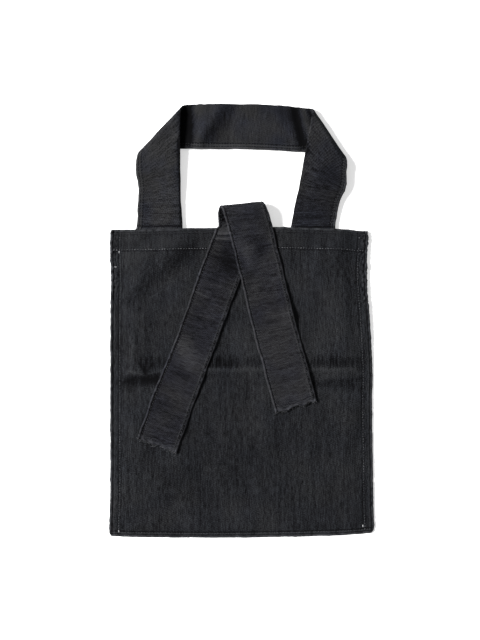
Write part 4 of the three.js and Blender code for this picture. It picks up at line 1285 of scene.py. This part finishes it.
def tieFrays():  # yarns start inside the cut edge and point out of it, each turned aside a little
    rng = np.random.default_rng(150)
    count = fray["tieCount"]
    starts, headings = [], []
    for row, inner in ((0, 4), (-1, -5)):
        column = rng.uniform(0, tieStrap["upper"].shape[1] - 1.001, count)
        low = column.astype(int)
        between = (column - low)[:, None]
        layer = rng.uniform(0.1, 0.9, count)[:, None]
        tip, root = [mix(*(mix(tieStrap[face][r, low], tieStrap[face][r, low + 1], between)
                           for face in ("upper", "lower")), layer) for r in (row, inner)]
        out = unit((tip - root) * [1, 1, 0])
        spread = rng.normal(0, fray["tieTurn"], count)
        out = np.stack([out[:, 0] * np.cos(spread) - out[:, 1] * np.sin(spread),
                        out[:, 0] * np.sin(spread) + out[:, 1] * np.cos(spread), 0 * spread], -1)
        starts.append(tip - out * 0.5)
        headings.append(out)
    lengths = rng.gamma(3, fray["tieLength"], 2 * count)
    sag = 0.25 * lengths * rng.uniform(0, 1, 2 * count)
    return yarnTubes("tie_frays", np.concatenate(starts), np.concatenate(headings), lengths, sag, 151)


def sideFrays():  # yarns start at random heights along the raw part of each side and point outward
    rng = np.random.default_rng(160)
    count = fray["sideCount"]
    starts, headings = [], []
    for across, outward in ((0, -1), (1, 1)):
        startY = rng.uniform(frontLook["roughLow"], frontLook["roughHigh"], count)
        up = (startY - bag["footY"]) / bag["height"]
        x, y = edgeFray(across + 0 * up, up, *frontLook["outline"])
        z = (frontTop(across + 0 * up, up) - rng.uniform(0.4, 1.6, count)) * pressed(across, up)
        turn = rng.normal(0, fray["sideTurn"], count)
        starts.append(np.stack([x - outward * 0.6, y, z], -1))
        headings.append(np.stack([outward * np.cos(turn), np.sin(turn), 0 * turn], -1))
    lengths = rng.gamma(3, fray["sideLength"], 2 * count)
    starts, headings = np.concatenate(starts), np.concatenate(headings)
    return yarnTubes("side_frays", starts, headings, lengths, 0.3 * lengths, 161)


tieYarn = tieFrays()
sideYarn = sideFrays()
print("loose yarn made")


# What each piece stands for: each hangs from the root body, and the part of model.glb it replaces is hidden


for piece, node, slot in (
    (backCloth, "back_panel", "panel_denim"),
    (frontCloth, "front_panel", "panel_denim"),
    (handlePiece, "handle_strap", "handle_denim"),
    (tiePiece, "tie_strap", "tie_denim"),
):
    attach(piece, "root")
    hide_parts(node)
for piece in (hemStitches, tacks, sideStitches, footStitches, backStitches, handleStitches, tieStitches,
              tieYarn, sideYarn):
    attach(piece, "root")


# Studio


studio = {
    "keyFrom": (-1.0, 0.2, 0.8),  # direction of the key light, low from the left
    "keyAngle": 17,  # degrees that the soft box spans
    "keyStrength": 8.5,
    "fill": 0.28,
    "horizon": 1.1,  # the backdrop is white where it meets the floor
    "floorWhite": 0.9,
    "floorGlow": 0.5,  # the sheet is lit a little from below, which keeps shadows on it pale
    "floorSize": 120,  # metres
    "floorDepth": 0.05,  # mm below the lowest cloth
    "cameraAt": (-0.0021, 0.00075, 2.0),
    "lens": 90,
}


def whiteSheet():
    # Matte white sheet of a light table: even, without gloss, glowing a little from below
    material, tree = newMaterial("white_light_table_sheet")
    shader = addNode(tree, "BsdfPrincipled", {
        "Base Color": (studio["floorWhite"],) * 3 + (1,), "Roughness": 1, "Specular IOR Level": 0,
        "Emission Color": (1, 1, 1, 1), "Emission Strength": studio["floorGlow"]})
    addNode(tree, "OutputMaterial", {"Surface": shader}, None)
    return material


def studioScene():  # floor, key light, camera, and a backdrop that pales to white at the horizon
    half = studio["floorSize"] / 2 * 1000
    corners = ((-half, -half), (half, -half), (half, half), (-half, half))
    places = np.array([[x, y, -studio["floorDepth"]] for x, y in corners])
    floor = finishedMesh("floor", places, [[0, 1, 2, 3]], whiteSheet())
    sun = bpy.data.objects.new("key", bpy.data.lights.new("key", "SUN"))
    sun.data.energy = studio["keyStrength"]
    sun.data.angle = np.radians(studio["keyAngle"])
    sun.rotation_euler = Vector(studio["keyFrom"]).to_track_quat("Z", "Y").to_euler()
    world = bpy.data.worlds.new("studio")
    world.use_nodes = True
    tree = world.node_tree
    backdrop = tree.nodes["Background"]
    backdrop.inputs["Color"].default_value = (1, 1, 1, 1)
    direction = addNode(tree, "TexCoord", {}, "Generated")
    rise = addNode(tree, "SeparateXYZ", {"Vector": direction}, "Z")
    strength = addNode(tree, "MapRange", {"Value": rise, "From Min": 0.03, "From Max": 0.2,
                                          "To Min": studio["horizon"], "To Max": studio["fill"]})
    tree.links.new(strength, backdrop.inputs["Strength"])
    camera = bpy.data.objects.new("camera", bpy.data.cameras.new("camera"))
    camera.data.lens = studio["lens"]
    camera.location = studio["cameraAt"]
    scene = bpy.context.scene
    for thing in (sun, camera):
        scene.collection.objects.link(thing)
    scene.world = world
    scene.camera = camera
    scene.view_settings.view_transform = "Standard"


studioScene()
print("studio set")
